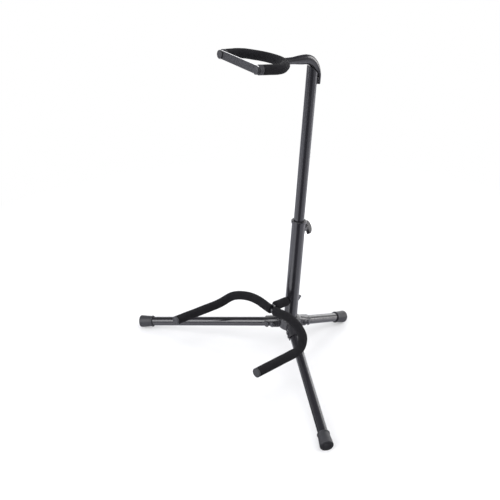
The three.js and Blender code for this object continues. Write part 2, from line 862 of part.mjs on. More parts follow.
// The cradle rod's centre line, with both ends drawn back.
function cradlePath(drawnBack) {
  const corners = mirroredCorners(cradleMiddle(), [0, 0, 0], cradleShoulder, cradleElbow, cradleTip);
  const bends = [cradleElbowBend, cradleShoulderBend, cradleMiddleBend, cradleShoulderBend, cradleElbowBend];
  return new BentPath(shortened(corners, drawnBack), bends);
}

// One side of the cradle's foam, from the bare middle to the cap.
function cradleFoam(side) {
  const sleeve = bentTube(cradlePath(capLength + seatGap), foamRadius, rodRadius + foamGap, foamSides, foamBoreSides);
  const wide = cradleTip[0] + foamRadius * 2;
  const deep = cradleMiddle().y + cradleTip[1] - foamRadius * 2;
  const far = side < 0 ? [-wide, -cradleBareHalf] : [cradleBareHalf, wide];
  const keep = block(...far, deep, 0, -wide, wide);
  return common(sleeve, keep);
}

// The place of a tip's cap: its inner face and its direction.
function tipPlace(path, side, back) {
  const last = side < 0 ? 0 : 1;
  const direction = path.getTangentAt(last).multiplyScalar(side < 0 ? -1 : 1);
  const point = path.getPoint(last).addScaledVector(direction, -back);
  return [point, direction];
}

// The cradle stem in the mast's frame, along Y, coped to the tube and to the rod.
function cradleStem(rodSpace) {
  const stem = bar(stemRadius, -stemReach, -lowerRadius * half, foamSides)
    .rotateX(-quarterTurn)
    .translate(0, 0, stemHeight);
  const tube = bar(lowerRadius + seatGap, 0, lowerTop);
  const thread = bar(studRadius + seatGap, -lowerRadius - stemThreadDepth, 0, smallSides)
    .rotateX(-quarterTurn)
    .translate(0, 0, stemHeight);
  return cut(stem, tube, thread, rodSpace);
}

// The mast pieces.
place(mast, "lower_tube", lowerTube(), "tube");
place(mast, "collar_ring", collarRing(), "tube");
place(mast, "guide_bush", guideBush(), "plastic");
place(mast, "mast_foot_plug", mastFootPlug(), "plastic");
place(mast, "hub_ring", hubRing(), "bracket");
place(mast, "upper_glide_plug", upperGlidePlug(), "plastic");

// The clamp pieces, on the screw's axis with +Y pointing back from the mast.
clamp.position.z = clampHeight;
const knobBack = bossReach + seatGap + knobHubHeight;
place(clamp, "clamp_boss", clampBoss(), "bracket");
const screwTip = upperRadius + seatGap;
const screwEnd = knobBack + knobSink - seatGap;
place(clamp, "clamp_screw", bar(screwRadius, screwTip, screwEnd, smallSides).rotateX(-quarterTurn), "steel");
const knob = place(clamp, "wing_knob", wingKnob(), "plastic");
knob.position.y = knobBack;
knob.rotation.y = quarterTurn - knobTurn;

// The cradle pieces.
const mastToStand = new THREE.Matrix4().makeRotationX(-mastTilt);
const standToMast = mastToStand.clone().invert();
const rodSpace = bentTube(cradlePath(0), rodRadius + seatGap, 0, rodSides).applyMatrix4(standToMast);
place(stand, "cradle_bar", bentTube(cradlePath(capLength - capSocketDepth), rodRadius, 0, rodSides), "tube");
place(mast, "cradle_stem", cradleStem(rodSpace), "tube");
const washerBack = lowerRadius + seatGap;
const nutBack = washerBack + washerThickness + seatGap;
const studFront = -lowerRadius - stemThreadDepth + seatGap;
const studBar = bar(studRadius, studFront, nutBack + nutHeight + studEnd, smallSides).rotateX(-quarterTurn);
place(mast, "cradle_stud", studBar, "steel").position.z = stemHeight;
const washer = ring(washerRadius, studRadius + seatGap, washerBack, washerBack + washerThickness, foamSides)
  .rotateX(-quarterTurn);
place(mast, "cradle_washer", washer, "steel").position.z = stemHeight;
const cradleNut = place(mast, "cradle_nut", hexNut(nutAcross, nutHeight, studRadius + seatGap), "steel");
cradleNut.rotation.x = -quarterTurn;
cradleNut.position.set(0, nutBack, stemHeight);
const stemFoam = ring(stemFoamRadius, stemRadius + foamGap, 0, stemFoamLength, foamSides).rotateX(quarterTurn);
const stemFoamMesh = place(mast, "stem_foam", stemFoam, "foam");
stemFoamMesh.position.set(0, -lowerRadius - stemFoamInset, stemHeight);
for (const [side, sign] of [["left", -1], ["right", 1]]) {
  place(stand, "cradle_foam_" + side, cradleFoam(sign), "foam");
  const cap = place(stand, "cradle_cap_" + side, endCap(capLength, 0), "cap");
  aim(cap, ...tipPlace(cradlePath(0), sign, capLength));
}

// The legs.
addLeg("right", frontLegTurn, frontLegLength, frontLegSlope);
addLeg("left", -frontLegTurn, frontLegLength, frontLegSlope);
addLeg("rear", halfTurn, rearLegLength, rearLegSlope);

// The sliding and turning upper section with the yoke.
place(upper, "upper_tube", upperTube(), "tube");
place(upper, "mast_top_plug", mastTopPlug(), "plastic");
place(upper, "yoke_post", yokePost(), "tube");
place(upper, "yoke_bar", bentTube(yokePath(capLength - capSocketDepth), rodRadius, 0, rodSides), "tube");
place(upper, "yoke_foam", yokeFoam(), "foam");

// The pegs stand square to the strap, which runs level from one arm's end to the other.
const pegDirection = new THREE.Vector3(...yokeTip).sub(new THREE.Vector3(...yokeCorner)).setX(0).normalize();
for (const [side, sign] of [["left", -1], ["right", 1]]) {
  const [point, direction] = tipPlace(yokePath(0), sign, yokeFoamShort - seatGap);
  const cap = place(upper, "yoke_cap_" + side, endCap(yokeCapLength, pegRadius + seatGap * 2), "cap");
  aim(cap, point, direction);
  const face = point.clone().addScaledVector(direction, yokeCapLength);
  aim(place(upper, "strap_peg_" + side, strapPeg(), "cap"), face, pegDirection);
  if (sign > 0) {
    const span = 2 * face.x;
    const strap = place(upper, "neck_strap", neckStrap(span), "strap");
    aim(strap, face.clone().addScaledVector(pegDirection, pegGap), pegDirection);
  }
}

// Puts the origin at the middle of the stand's box, on the floor.
const root = new THREE.Group();
root.add(stand);
root.updateMatrixWorld(true);
const box = new THREE.Box3().setFromObject(root, true);
const middle = box.getCenter(new THREE.Vector3());
stand.position.set(-middle.x, -middle.y, -box.min.z);

export default root;
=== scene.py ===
import bmesh
import bpy
import json
import math
from mathutils import Matrix, Vector, noise


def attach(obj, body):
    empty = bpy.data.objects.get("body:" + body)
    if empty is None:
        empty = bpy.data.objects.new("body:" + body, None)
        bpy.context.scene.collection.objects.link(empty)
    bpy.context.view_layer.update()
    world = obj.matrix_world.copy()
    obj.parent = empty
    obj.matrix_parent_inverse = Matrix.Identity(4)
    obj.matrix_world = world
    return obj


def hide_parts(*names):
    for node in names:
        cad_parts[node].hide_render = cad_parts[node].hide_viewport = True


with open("model.json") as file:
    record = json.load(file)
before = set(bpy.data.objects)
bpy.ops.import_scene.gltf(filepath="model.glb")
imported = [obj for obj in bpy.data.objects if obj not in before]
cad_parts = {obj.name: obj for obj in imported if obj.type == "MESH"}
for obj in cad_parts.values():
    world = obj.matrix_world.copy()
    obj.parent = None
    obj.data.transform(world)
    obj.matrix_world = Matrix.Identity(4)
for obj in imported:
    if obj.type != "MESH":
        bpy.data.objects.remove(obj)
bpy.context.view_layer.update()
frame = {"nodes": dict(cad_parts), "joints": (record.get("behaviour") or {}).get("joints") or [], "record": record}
nodes = frame["nodes"]
joints = {joint["name"]: joint for joint in frame["joints"]}
mm = 0.001
fullTurn = 2 * math.pi
print("frame loaded:", len(nodes), "nodes")

# Where things are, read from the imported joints
places = {
    "turnJointHeight": 300,  # how far up the mast from the hub the turn joint sits, mm
    "yokeTurnDeg": -8.7,     # the yoke is turned a little on the mast
}

mastAxis = Vector(joints["mast_turn"]["axis"]).normalized()
hubPoint = Vector(joints["mast_turn"]["pos_m"]) - mastAxis * places["turnJointHeight"] * mm
mastTilt = math.atan2(mastAxis.y, mastAxis.z)
standFrame = Matrix.Translation(hubPoint)
mastFrame = standFrame @ Matrix.Rotation(-mastTilt, 4, "X")
yokeFrame = mastFrame @ Matrix.Rotation(math.radians(places["yokeTurnDeg"]), 4, "Z")


def frameFromAxes(origin, xAxis, yAxis, zAxis):
    matrix = Matrix.Identity(4)
    for column, axis in enumerate((xAxis, yAxis, zAxis)):
        for row in range(3):
            matrix[row][column] = axis[row]
    matrix.translation = origin
    return matrix


def legFrame(side):
    # X runs out along the leg from the hub, Y is the pivot's axis, Z is up from the leg
    joint = joints["leg_" + side + "_fold"]
    along = (Vector(joint["pos_m"]) - hubPoint).normalized()
    across = Vector(joint["axis"]).normalized()
    return frameFromAxes(hubPoint, along, across, along.cross(across))


def aimFrame(point, direction):
    # +Z along a direction, standing on a point
    turn = Vector((0, 0, 1)).rotation_difference(Vector(direction).normalized())
    return Matrix.Translation(point) @ turn.to_matrix().to_4x4()


# Helpers for node trees. A value given to them is a number or another node's output.
def addMath(tree, operation, *values):
    node = tree.nodes.new("ShaderNodeMath")
    node.operation = operation
    for socket, value in zip(node.inputs, values):
        if isinstance(value, (int, float)):
            socket.default_value = value
        else:
            tree.links.new(value, socket)
    return node.outputs[0]


def addVectorMath(tree, operation, vector, other=(0, 0, 0)):
    node = tree.nodes.new("ShaderNodeVectorMath")
    node.operation = operation
    tree.links.new(vector, node.inputs[0])
    node.inputs[1].default_value = other
    return node


def addMix(tree, fac, first, second):
    mix = tree.nodes.new("ShaderNodeMix")
    mix.data_type = "RGBA"
    tree.links.new(fac, mix.inputs["Factor"])
    for socket, value in ((mix.inputs["A"], first), (mix.inputs["B"], second)):
        if isinstance(value, tuple):
            socket.default_value = (*value, 1)
        else:
            tree.links.new(value, socket)
    return mix.outputs["Result"]


def addRamp(tree, value, low, high):
    # 0 at low to 1 at high
    ramp = tree.nodes.new("ShaderNodeMapRange")
    ramp.inputs["From Min"].default_value = low
    ramp.inputs["From Max"].default_value = high
    tree.links.new(value, ramp.inputs["Value"])
    return ramp.outputs["Result"]


# Camera at the photograph's place, lamps, floor and background
stageValues = {
    "cameraFromHub": (1237.5, -1230.5, 1109.0),  # mm
    "cameraAzimuthDeg": 48.03,
    "cameraElevationDeg": 28.14,
    "lens": 67.82,
    "sensor": 36,
    "clip": (0.05, 50),
    "background": (1.0, 1.0, 1.0),
    "ambient": (0.97, 0.98, 1.0),         # soft light from all round
    "roomDark": (0.10, 0.10, 0.12),       # what the room mirrors outside its white wall
    "wallTop": 0.62,                      # sine of the height angle that the white wall reaches
    "wallSoft": 0.12,                     # half of the soft band at its top
    "wallMiddle": (-0.35, 0.937, 0),      # the way from the stand to the wall's brightest part
    "wallFade": (-0.1, 0.85),             # cosines from that way: dark at the first, white at the second
    "floorSize": 9,
    "floorColor": (0.74, 0.74, 0.75),
    "floorBright": (0.62, 0.62, 0.68),    # the floor as the stand's own surfaces mirror it: a painted reflection, darker than the floor itself
    "floorPaintedShade": (0.035, 0.035, 0.045),   # the same on the dark side of the room: painted shade in the floor's reflection
    "paintedShadeWay": (0.707, -0.707, 0),        # the way from the stand to the side where the painted shade lies
    "paintedShadeFade": (0.78, 0.95),             # cosines from that way between which the painted shade darkens
    "floorLift": 0.3,                     # share of the near floor that shows as plain background
    "floorFade": (0.35, 1.1),             # metres from the stand between which the rest turns plain too
    "floorRough": 0.14,
    "floorSpecular": 0.9,
    "lampAim": (0, 0, 0.25),              # metres from the hub to the point that the lamps face
}


def addCamera(values):
    data = bpy.data.cameras.new("photoCamera")
    data.lens = values["lens"]
    data.sensor_width = values["sensor"]
    camera = bpy.data.objects.new("photoCamera", data)
    bpy.context.scene.collection.objects.link(camera)
    azimuth = math.radians(values["cameraAzimuthDeg"])
    elevation = math.radians(values["cameraElevationDeg"])
    back = Vector((
        math.sin(azimuth) * math.cos(elevation),
        -math.cos(azimuth) * math.cos(elevation),
        math.sin(elevation),
    ))
    camera.location = hubPoint + Vector(values["cameraFromHub"]) * mm
    camera.rotation_mode = "QUATERNION"
    camera.rotation_quaternion = (-back).to_track_quat("-Z", "Y")
    data.clip_start, data.clip_end = values["clip"]
    bpy.context.scene.camera = camera


def addWorld(values):
    world = bpy.data.worlds.new("studio")
    world.use_nodes = True
    tree = world.node_tree
    tree.nodes.clear()
    out = tree.nodes.new("ShaderNodeOutputWorld")
    path = tree.nodes.new("ShaderNodeLightPath")

    def background(color):
        shader = tree.nodes.new("ShaderNodeBackground")
        shader.inputs["Color"].default_value = (*color, 1)
        return shader.outputs[0]

    def mixed(factor, first, second):
        mix = tree.nodes.new("ShaderNodeMixShader")
        for socket, source in zip(mix.inputs, (factor, first, second)):
            tree.links.new(source, socket)
        return mix.outputs[0]

    # a white wall stands behind the stand, and the room above it and in front of it is dark
    coordinates = tree.nodes.new("ShaderNodeTexCoord")
    behind = addVectorMath(tree, "DOT_PRODUCT", coordinates.outputs["Generated"], values["wallMiddle"])
    split = tree.nodes.new("ShaderNodeSeparateXYZ")
    tree.links.new(coordinates.outputs["Generated"], split.inputs[0])
    top, soft = values["wallTop"], values["wallSoft"]
    wallSide = addRamp(tree, behind.outputs["Value"], *values["wallFade"])
    wallHigh = addRamp(tree, split.outputs["Z"], top + soft, top - soft)
    wallShare = addMath(tree, "MULTIPLY", wallSide, wallHigh)
    wall = mixed(wallShare, background(values["roomDark"]), background(values["background"]))
    room = mixed(path.outputs["Is Glossy Ray"], background(values["ambient"]), wall)
    seen = addMath(tree, "MAXIMUM", path.outputs["Is Camera Ray"], path.outputs["Is Transmission Ray"])
    tree.links.new(mixed(seen, room, background(values["background"])), out.inputs["Surface"])
    bpy.context.scene.world = world


lamps = [
    # name, place in metres from the hub, size in metres, watts, colour
    ("topSoftbox", (0.75, -0.55, 2.1), (1.5, 0.9), 16, (1.0, 0.99, 1.0)),
    ("frontSoftbox", (0.1, -2.3, 1.4), (1.8, 1.9), 46, (0.98, 0.98, 1.0)),
    ("backSoftbox", (-0.97, 2.08, 0.62), (2.1, 0.65), 13, (0.99, 0.99, 1.0)),
    ("leftSoftbox", (-1.5, -1.8, 0.8), (0.9, 1.4), 12, (0.97, 0.98, 1.0)),
    ("rightSoftbox", (1.3, 1.8, 0.9), (0.8, 1.7), 24, (1.0, 0.98, 0.98)),
]


def addLamp(name, place, size, watts, color):
    data = bpy.data.lights.new(name, "AREA")
    data.shape = "RECTANGLE"
    data.size, data.size_y = size
    data.energy = watts
    data.color = color
    lamp = bpy.data.objects.new(name, data)
    bpy.context.scene.collection.objects.link(lamp)
    lamp.location = hubPoint + Vector(place)
    target = hubPoint + Vector(stageValues["lampAim"])
    lamp.rotation_mode = "QUATERNION"
    lamp.rotation_quaternion = (target - lamp.location).to_track_quat("-Z", "Y")


def addFloor(values):
    half = values["floorSize"] / 2
    mesh = bpy.data.meshes.new("floor")
    corners = [(-half, -half, 0), (half, -half, 0), (half, half, 0), (-half, half, 0)]
    mesh.from_pydata(corners, [], [(0, 1, 2, 3)])
    floor = bpy.data.objects.new("floor", mesh)
    bpy.context.scene.collection.objects.link(floor)
    material = bpy.data.materials.new("paleFloor")
    material.use_nodes = True
    tree = material.node_tree
    shader = tree.nodes["Principled BSDF"]
    path = tree.nodes.new("ShaderNodeLightPath")
    coordinates = tree.nodes.new("ShaderNodeTexCoord")
    # glossy rays see a painted floor colour: a painted reflection, with painted shade towards the dark side of the
    # room
    outward = addVectorMath(tree, "NORMALIZE", coordinates.outputs["Object"])
    toDark = addVectorMath(tree, "DOT_PRODUCT", outward.outputs["Vector"], values["paintedShadeWay"])
    paintedShadeShare = addRamp(tree, toDark.outputs["Value"], *values["paintedShadeFade"])
    mirrored = addMix(tree, paintedShadeShare, values["floorBright"], values["floorPaintedShade"])
    color = addMix(tree, path.outputs["Is Glossy Ray"], values["floorColor"], mirrored)
    tree.links.new(color, shader.inputs["Base Color"])
    shader.inputs["Roughness"].default_value = values["floorRough"]
    shader.inputs["Specular IOR Level"].default_value = values["floorSpecular"]
    glow = tree.nodes.new("ShaderNodeEmission")
    glow.inputs["Color"].default_value = (*values["background"], 1)
    mix = tree.nodes.new("ShaderNodeMixShader")
    distance = addVectorMath(tree, "LENGTH", coordinates.outputs["Object"])
    faded = addRamp(tree, distance.outputs["Value"], *values["floorFade"])
    lift = addMath(tree, "MAXIMUM", faded, values["floorLift"])
    tree.links.new(addMath(tree, "MULTIPLY", path.outputs["Is Camera Ray"], lift), mix.inputs[0])
    tree.links.new(shader.outputs[0], mix.inputs[1])
    tree.links.new(glow.outputs[0], mix.inputs[2])
    tree.links.new(mix.outputs[0], tree.nodes["Material Output"].inputs["Surface"])
    mesh.materials.append(material)


addCamera(stageValues)
addWorld(stageValues)
for lampValues in lamps:
    addLamp(*lampValues)
addFloor(stageValues)
bpy.context.scene.view_settings.view_transform = "Standard"
print("stage ready")


# Node groups that several finishes share
def newGroup(name, inputs, outputs):
    tree = bpy.data.node_groups.new(name, "ShaderNodeTree")
    for label, value in inputs.items():
        socket = tree.interface.new_socket(name=label, in_out="INPUT", socket_type="NodeSocketFloat")
        socket.default_value = value
    for label in outputs:
        tree.interface.new_socket(name=label, in_out="OUTPUT", socket_type="NodeSocketFloat")
    return tree, tree.nodes.new("NodeGroupInput"), tree.nodes.new("NodeGroupOutput")


def addNoise(tree, scale, detail=3, rough=0.5):
    coordinates = tree.nodes.new("ShaderNodeTexCoord")
    texture = tree.nodes.new("ShaderNodeTexNoise")
    texture.inputs["Scale"].default_value = scale
    texture.inputs["Detail"].default_value = detail
    texture.inputs["Roughness"].default_value = rough
    tree.links.new(coordinates.outputs["Object"], texture.inputs["Vector"])
    return texture


def makeOrangePeel():
    # the fine waviness and specks of sprayed paint
    tree, given, out = newGroup("orangePeel", {"Scale": 900, "Blotch Scale": 14}, ["Height", "Blotch"])
    fine = addNoise(tree, 900, 2)
    tree.links.new(given.outputs["Scale"], fine.inputs["Scale"])
    broad = addNoise(tree, 14, 3)
    tree.links.new(given.outputs["Blotch Scale"], broad.inputs["Scale"])
    tree.links.new(fine.outputs["Fac"], out.inputs["Height"])
    tree.links.new(addRamp(tree, broad.outputs["Fac"], 0.3, 0.7), out.inputs["Blotch"])
    return tree


def makeEdgeWear():
    # 1 on worn outer edges, broken up by noise
    tree, given, out = newGroup("edgeWear", {"Reach": 0.04, "Breakup Scale": 160}, ["Mask"])
    geometry = tree.nodes.new("ShaderNodeNewGeometry")
    breakup = addNoise(tree, 160, 4, 0.65)
    tree.links.new(given.outputs["Breakup Scale"], breakup.inputs["Scale"])
    convex = addMath(tree, "SUBTRACT", geometry.outputs["Pointiness"], 0.5)
    scaled = addMath(tree, "DIVIDE", convex, given.outputs["Reach"])
    broken = addMath(tree, "MULTIPLY", scaled, addRamp(tree, breakup.outputs["Fac"], 0.42, 0.62))
    clamp = tree.nodes.new("ShaderNodeClamp")
    tree.links.new(broken, clamp.inputs["Value"])
    tree.links.new(clamp.outputs["Result"], out.inputs["Mask"])
    return tree


def makeDust():
    # pale dust that settles on faces that look up
    tree, given, out = newGroup("dust", {"Amount": 0.15, "Scale": 60}, ["Mask"])
    geometry = tree.nodes.new("ShaderNodeNewGeometry")
    split = tree.nodes.new("ShaderNodeSeparateXYZ")
    tree.links.new(geometry.outputs["Normal"], split.inputs[0])
    patches = addNoise(tree, 60, 5, 0.7)
    tree.links.new(given.outputs["Scale"], patches.inputs["Scale"])
    upward = addRamp(tree, split.outputs["Z"], 0.2, 1.0)
    spotted = addMath(tree, "MULTIPLY", upward, addRamp(tree, patches.outputs["Fac"], 0.35, 0.75))
    tree.links.new(addMath(tree, "MULTIPLY", spotted, given.outputs["Amount"]), out.inputs["Mask"])
    return tree


def makeFoamPores():
    # open skin of foam tube: small cells over softer lumps
    tree, given, out = newGroup("foamPores", {"Cell Scale": 700, "Lump Scale": 120}, ["Height", "Shade"])
    coordinates = tree.nodes.new("ShaderNodeTexCoord")
    cells = tree.nodes.new("ShaderNodeTexVoronoi")
    tree.links.new(coordinates.outputs["Object"], cells.inputs["Vector"])
    tree.links.new(given.outputs["Cell Scale"], cells.inputs["Scale"])
    lumps = addNoise(tree, 120, 4, 0.6)
    tree.links.new(given.outputs["Lump Scale"], lumps.inputs["Scale"])
    cellHeight = addMath(tree, "MULTIPLY", cells.outputs["Distance"], 0.6)
    height = addMath(tree, "ADD", cellHeight, lumps.outputs["Fac"])
    tree.links.new(height, out.inputs["Height"])
    tree.links.new(addRamp(tree, lumps.outputs["Fac"], 0.3, 0.7), out.inputs["Shade"])
    return tree


groups = {
    "orangePeel": makeOrangePeel(),
    "edgeWear": makeEdgeWear(),
    "dust": makeDust(),
    "foamPores": makeFoamPores(),
}


def useGroup(tree, name, **values):
    node = tree.nodes.new("ShaderNodeGroup")
    node.node_tree = groups[name]
    for label, value in values.items():
        node.inputs[label.replace("_", " ")].default_value = value
    return node


def startMaterial(name):
    material = bpy.data.materials.new(name)
    material.use_nodes = True
    tree = material.node_tree
    return material, tree, tree.nodes["Principled BSDF"]


def addBump(tree, shader, height, strength, distance):
    bump = tree.nodes.new("ShaderNodeBump")
    bump.inputs["Strength"].default_value = strength
    bump.inputs["Distance"].default_value = distance
    tree.links.new(height, bump.inputs["Height"])
    tree.links.new(bump.outputs["Normal"], shader.inputs["Normal"])


# Painted steel: tubes, brackets and welds
paintValues = {
    "tubePaint": {
        "dark": (0.0100, 0.0096, 0.0118), "light": (0.0130, 0.0125, 0.0150), "worn": (0.06, 0.06, 0.063),
        "rough": (0.17, 0.20), "wearShare": 0.02, "bump": 0.004,
    },
    "bracketPaint": {
        "dark": (0.0115, 0.0112, 0.0130), "light": (0.0160, 0.0155, 0.0180), "worn": (0.10, 0.10, 0.106),
        "rough": (0.24, 0.30), "wearShare": 0.12, "bump": 0.02,
    },
}
paintDust = {"amount": 0.02, "scale": 60, "color": (0.22, 0.22, 0.23)}


def makePaint(name, values):
    material, tree, shader = startMaterial(name)
    peel = useGroup(tree, "orangePeel", Scale=900, Blotch_Scale=14)
    wear = useGroup(tree, "edgeWear", Reach=0.06, Breakup_Scale=160)
    dust = useGroup(tree, "dust", Amount=paintDust["amount"], Scale=paintDust["scale"])
    paint = addMix(tree, peel.outputs["Blotch"], values["dark"], values["light"])
    wornShare = addMath(tree, "MULTIPLY", wear.outputs["Mask"], values["wearShare"])
    worn = addMix(tree, wornShare, paint, values["worn"])
    surfaceColor = addMix(tree, dust.outputs["Mask"], worn, paintDust["color"])
    tree.links.new(surfaceColor, shader.inputs["Base Color"])
    low, high = values["rough"]
    rough = addMath(tree, "MULTIPLY_ADD", peel.outputs["Blotch"], high - low, low)
    tree.links.new(rough, shader.inputs["Roughness"])
    shader.inputs["Specular IOR Level"].default_value = 0.8
    addBump(tree, shader, peel.outputs["Height"], values["bump"], 0.0004)
    return material


# Closed-cell foam sleeves
foamValues = {
    "dark": (0.0045, 0.0043, 0.0053), "light": (0.0085, 0.0082, 0.0098), "dust": (0.12, 0.12, 0.125),
    "rough": 0.95, "specular": 0.12, "sheen": 0.02, "sheenRough": 0.6,
    "cellScale": 750, "lumpScale": 150, "bump": 0.55,
}


def makeFoam(values):
    material, tree, shader = startMaterial("foamSleeve")
    pores = useGroup(tree, "foamPores", Cell_Scale=values["cellScale"], Lump_Scale=values["lumpScale"])
    dust = useGroup(tree, "dust", Amount=0.02, Scale=220)
    color = addMix(tree, pores.outputs["Shade"], values["dark"], values["light"])
    surfaceColor = addMix(tree, dust.outputs["Mask"], color, values["dust"])
    tree.links.new(surfaceColor, shader.inputs["Base Color"])
    shader.inputs["Roughness"].default_value = values["rough"]
    shader.inputs["Specular IOR Level"].default_value = values["specular"]
    shader.inputs["Sheen Weight"].default_value = values["sheen"]
    shader.inputs["Sheen Roughness"].default_value = values["sheenRough"]
    addBump(tree, shader, pores.outputs["Height"], values["bump"], 0.0006)
    return material


# Moulded rubber and plastic
mouldedValues = {
    "footRubber": {
        "dark": (0.016, 0.016, 0.019), "light": (0.025, 0.025, 0.029), "rough": 0.5, "specular": 0.5,
        "grain": 1100, "bump": 0.08, "dust": 0.06,
    },
    # the strap's pale top colour is a painted highlight, not a colour of the rubber
    "strapRubber": {
        "dark": (0.018, 0.018, 0.021), "light": (0.026, 0.026, 0.030), "rough": 0.55, "specular": 0.4,
        "grain": 900, "bump": 0.10, "dust": 0.08, "paintedTopHighlight": (0.7, 0.7, 0.7),
    },
    "capPlastic": {
        "dark": (0.019, 0.019, 0.022), "light": (0.027, 0.027, 0.031), "rough": 0.5, "specular": 0.45,
        "grain": 1400, "bump": 0.06, "dust": 0.05,
    },
    "blackPlastic": {
        "dark": (0.012, 0.012, 0.014), "light": (0.020, 0.020, 0.023), "rough": 0.42, "specular": 0.5,
        "grain": 1300, "bump": 0.08, "dust": 0.05,
    },
}
mouldedDust = (0.2, 0.2, 0.205)


def makeMoulded(name, values):
    material, tree, shader = startMaterial(name)
    grain = useGroup(tree, "orangePeel", Scale=values["grain"], Blotch_Scale=40)
    dust = useGroup(tree, "dust", Amount=values["dust"], Scale=90)
    color = addMix(tree, grain.outputs["Blotch"], values["dark"], values["light"])
    surfaceColor = addMix(tree, dust.outputs["Mask"], color, mouldedDust)
    if "paintedTopHighlight" in values:
        # faces that look up are painted pale: a painted highlight along the strap's top edge
        coordinates = tree.nodes.new("ShaderNodeTexCoord")
        split = tree.nodes.new("ShaderNodeSeparateXYZ")
        tree.links.new(coordinates.outputs["Normal"], split.inputs[0])
        upward = addRamp(tree, split.outputs["Z"], 0.75, 0.95)
        surfaceColor = addMix(tree, upward, surfaceColor, values["paintedTopHighlight"])
    tree.links.new(surfaceColor, shader.inputs["Base Color"])
    shader.inputs["Roughness"].default_value = values["rough"]
    shader.inputs["Specular IOR Level"].default_value = values["specular"]
    addBump(tree, shader, grain.outputs["Height"], values["bump"], 0.0003)
    return material


# Dark zinc-plated fasteners
zincValues = {
    "dark": (0.045, 0.045, 0.052), "light": (0.075, 0.075, 0.082), "worn": (0.18, 0.18, 0.19),
    "metallic": 0.85, "rough": 0.38, "bump": 0.08,
}


def makeZinc(values):
    material, tree, shader = startMaterial("darkZinc")
    brush = useGroup(tree, "orangePeel", Scale=1500, Blotch_Scale=90)
    wear = useGroup(tree, "edgeWear", Reach=0.05, Breakup_Scale=300)
    plate = addMix(tree, brush.outputs["Blotch"], values["dark"], values["light"])
    worn = addMix(tree, wear.outputs["Mask"], plate, values["worn"])
    tree.links.new(worn, shader.inputs["Base Color"])
    shader.inputs["Metallic"].default_value = values["metallic"]
    shader.inputs["Roughness"].default_value = values["rough"]
    addBump(tree, shader, brush.outputs["Height"], values["bump"], 0.0002)
    return material


finishes = {name: makePaint(name, values) for name, values in paintValues.items()}
finishes["foamSleeve"] = makeFoam(foamValues)
for mouldedName, values in mouldedValues.items():
    finishes[mouldedName] = makeMoulded(mouldedName, values)
finishes["darkZinc"] = makeZinc(zincValues)
slotOf = {
    "tubePaint": "tube_paint",
    "bracketPaint": "bracket_paint",
    "foamSleeve": "foam",
    "footRubber": "foot_rubber",
    "strapRubber": "strap_rubber",
    "capPlastic": "grey_plastic",
    "blackPlastic": "black_plastic",
    "darkZinc": "fastener_steel",
}
nodeFinish = {slot: name for name, slot in slotOf.items()}
print("finishes ready")


# Mesh helpers. Lengths given to them are millimetres in the piece's own frame.
def faceOutward(mesh):
    work = bmesh.new()
    work.from_mesh(mesh)
    bmesh.ops.recalc_face_normals(work, faces=work.faces)
    work.to_mesh(mesh)
    work.free()


def addPiece(name, shape, matrix, finish, body, node=None, smoothDeg=38, floorFlat=False):
    # a piece that rides on a body and, where a node is named, stands for it
    points, faces = shape
    placed = [matrix @ (Vector(point) * mm) for point in points]
    if floorFlat:
        for point in placed:
            point.z = max(point.z, 0)
    mesh = bpy.data.meshes.new(name)
    mesh.from_pydata([tuple(point) for point in placed], [], faces)
    mesh.validate()
    faceOutward(mesh)
    mesh.polygons.foreach_set("use_smooth", [True] * len(mesh.polygons))
    mesh.set_sharp_from_angle(angle=math.radians(smoothDeg))
    mesh.materials.append(finishes[finish])
    piece = bpy.data.objects.new(name, mesh)
    bpy.context.scene.collection.objects.link(piece)
    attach(piece, body)
    if node:
        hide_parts(node)
    return piece


def joinRings(rings, closed=False):
    # quads between rings of equal count, with flat ends unless the last ring meets the first
    sides = len(rings[0])
    points = [point for ring in rings for point in ring]
    faces = []
    count = len(rings)
    for index in range(count if closed else count - 1):
        lower, upper = index * sides, ((index + 1) % count) * sides
        for side in range(sides):
            after = (side + 1) % sides
            faces.append((lower + side, lower + after, upper + after, upper + side))
    if not closed:
        faces.append(tuple(reversed(range(sides))))
        faces.append(tuple(range((count - 1) * sides, count * sides)))
    return points, faces


def valueAt(value, *place):
    # a value that may be given as a number or as a function of the place
    return value(*place) if callable(value) else value


def anglesOf(sides):
    return [fullTurn * side / sides for side in range(sides)]


def turned(radius, angle, height):
    return (radius * math.cos(angle), radius * math.sin(angle), height)


def circlePath(radius, steps):
    # a circle that ends where it starts
    return [turned(radius, fullTurn * step / steps, 0)[:2] for step in range(steps + 1)]


def arcPoints(centre, radius, fromDeg, toDeg, steps=6):
    points = []
    for step in range(steps + 1):
        angle = math.radians(fromDeg + (toDeg - fromDeg) * step / steps)
        points.append((centre[0] + radius * math.cos(angle), centre[1] + radius * math.sin(angle)))
    return points


def turnedShape(profile, sides=96):
    # profile: (radius, height) points from the axis back to the axis, or a closed loop off it
    closed = profile[0] == profile[-1] and profile[0][0] > 0
    kept = profile[:-1] if closed else profile[1:-1]
    rings = [[turned(radius, angle, height) for angle in anglesOf(sides)] for radius, height in kept]
    return joinRings(rings, closed)


def tubeShape(outer, inner, start, end, sides=72):
    # a tube along Z with its rims just broken. Either end may be a function of x, y that cuts it to a shape
    edge = 0.35
    rows = [
        (inner, start, edge), (inner + edge, start, 0), (outer - edge, start, 0), (outer, start, edge),
        (outer, end, -edge), (outer - edge, end, 0), (inner + edge, end, 0), (inner, end, -edge),
    ]
    rings = []
    for radius, height, shift in rows:
        ring = [turned(radius, angle, 0) for angle in anglesOf(sides)]
        rings.append([(x, y, valueAt(height, x, y) + shift) for x, y, _ in ring])
    return joinRings(rings, True)


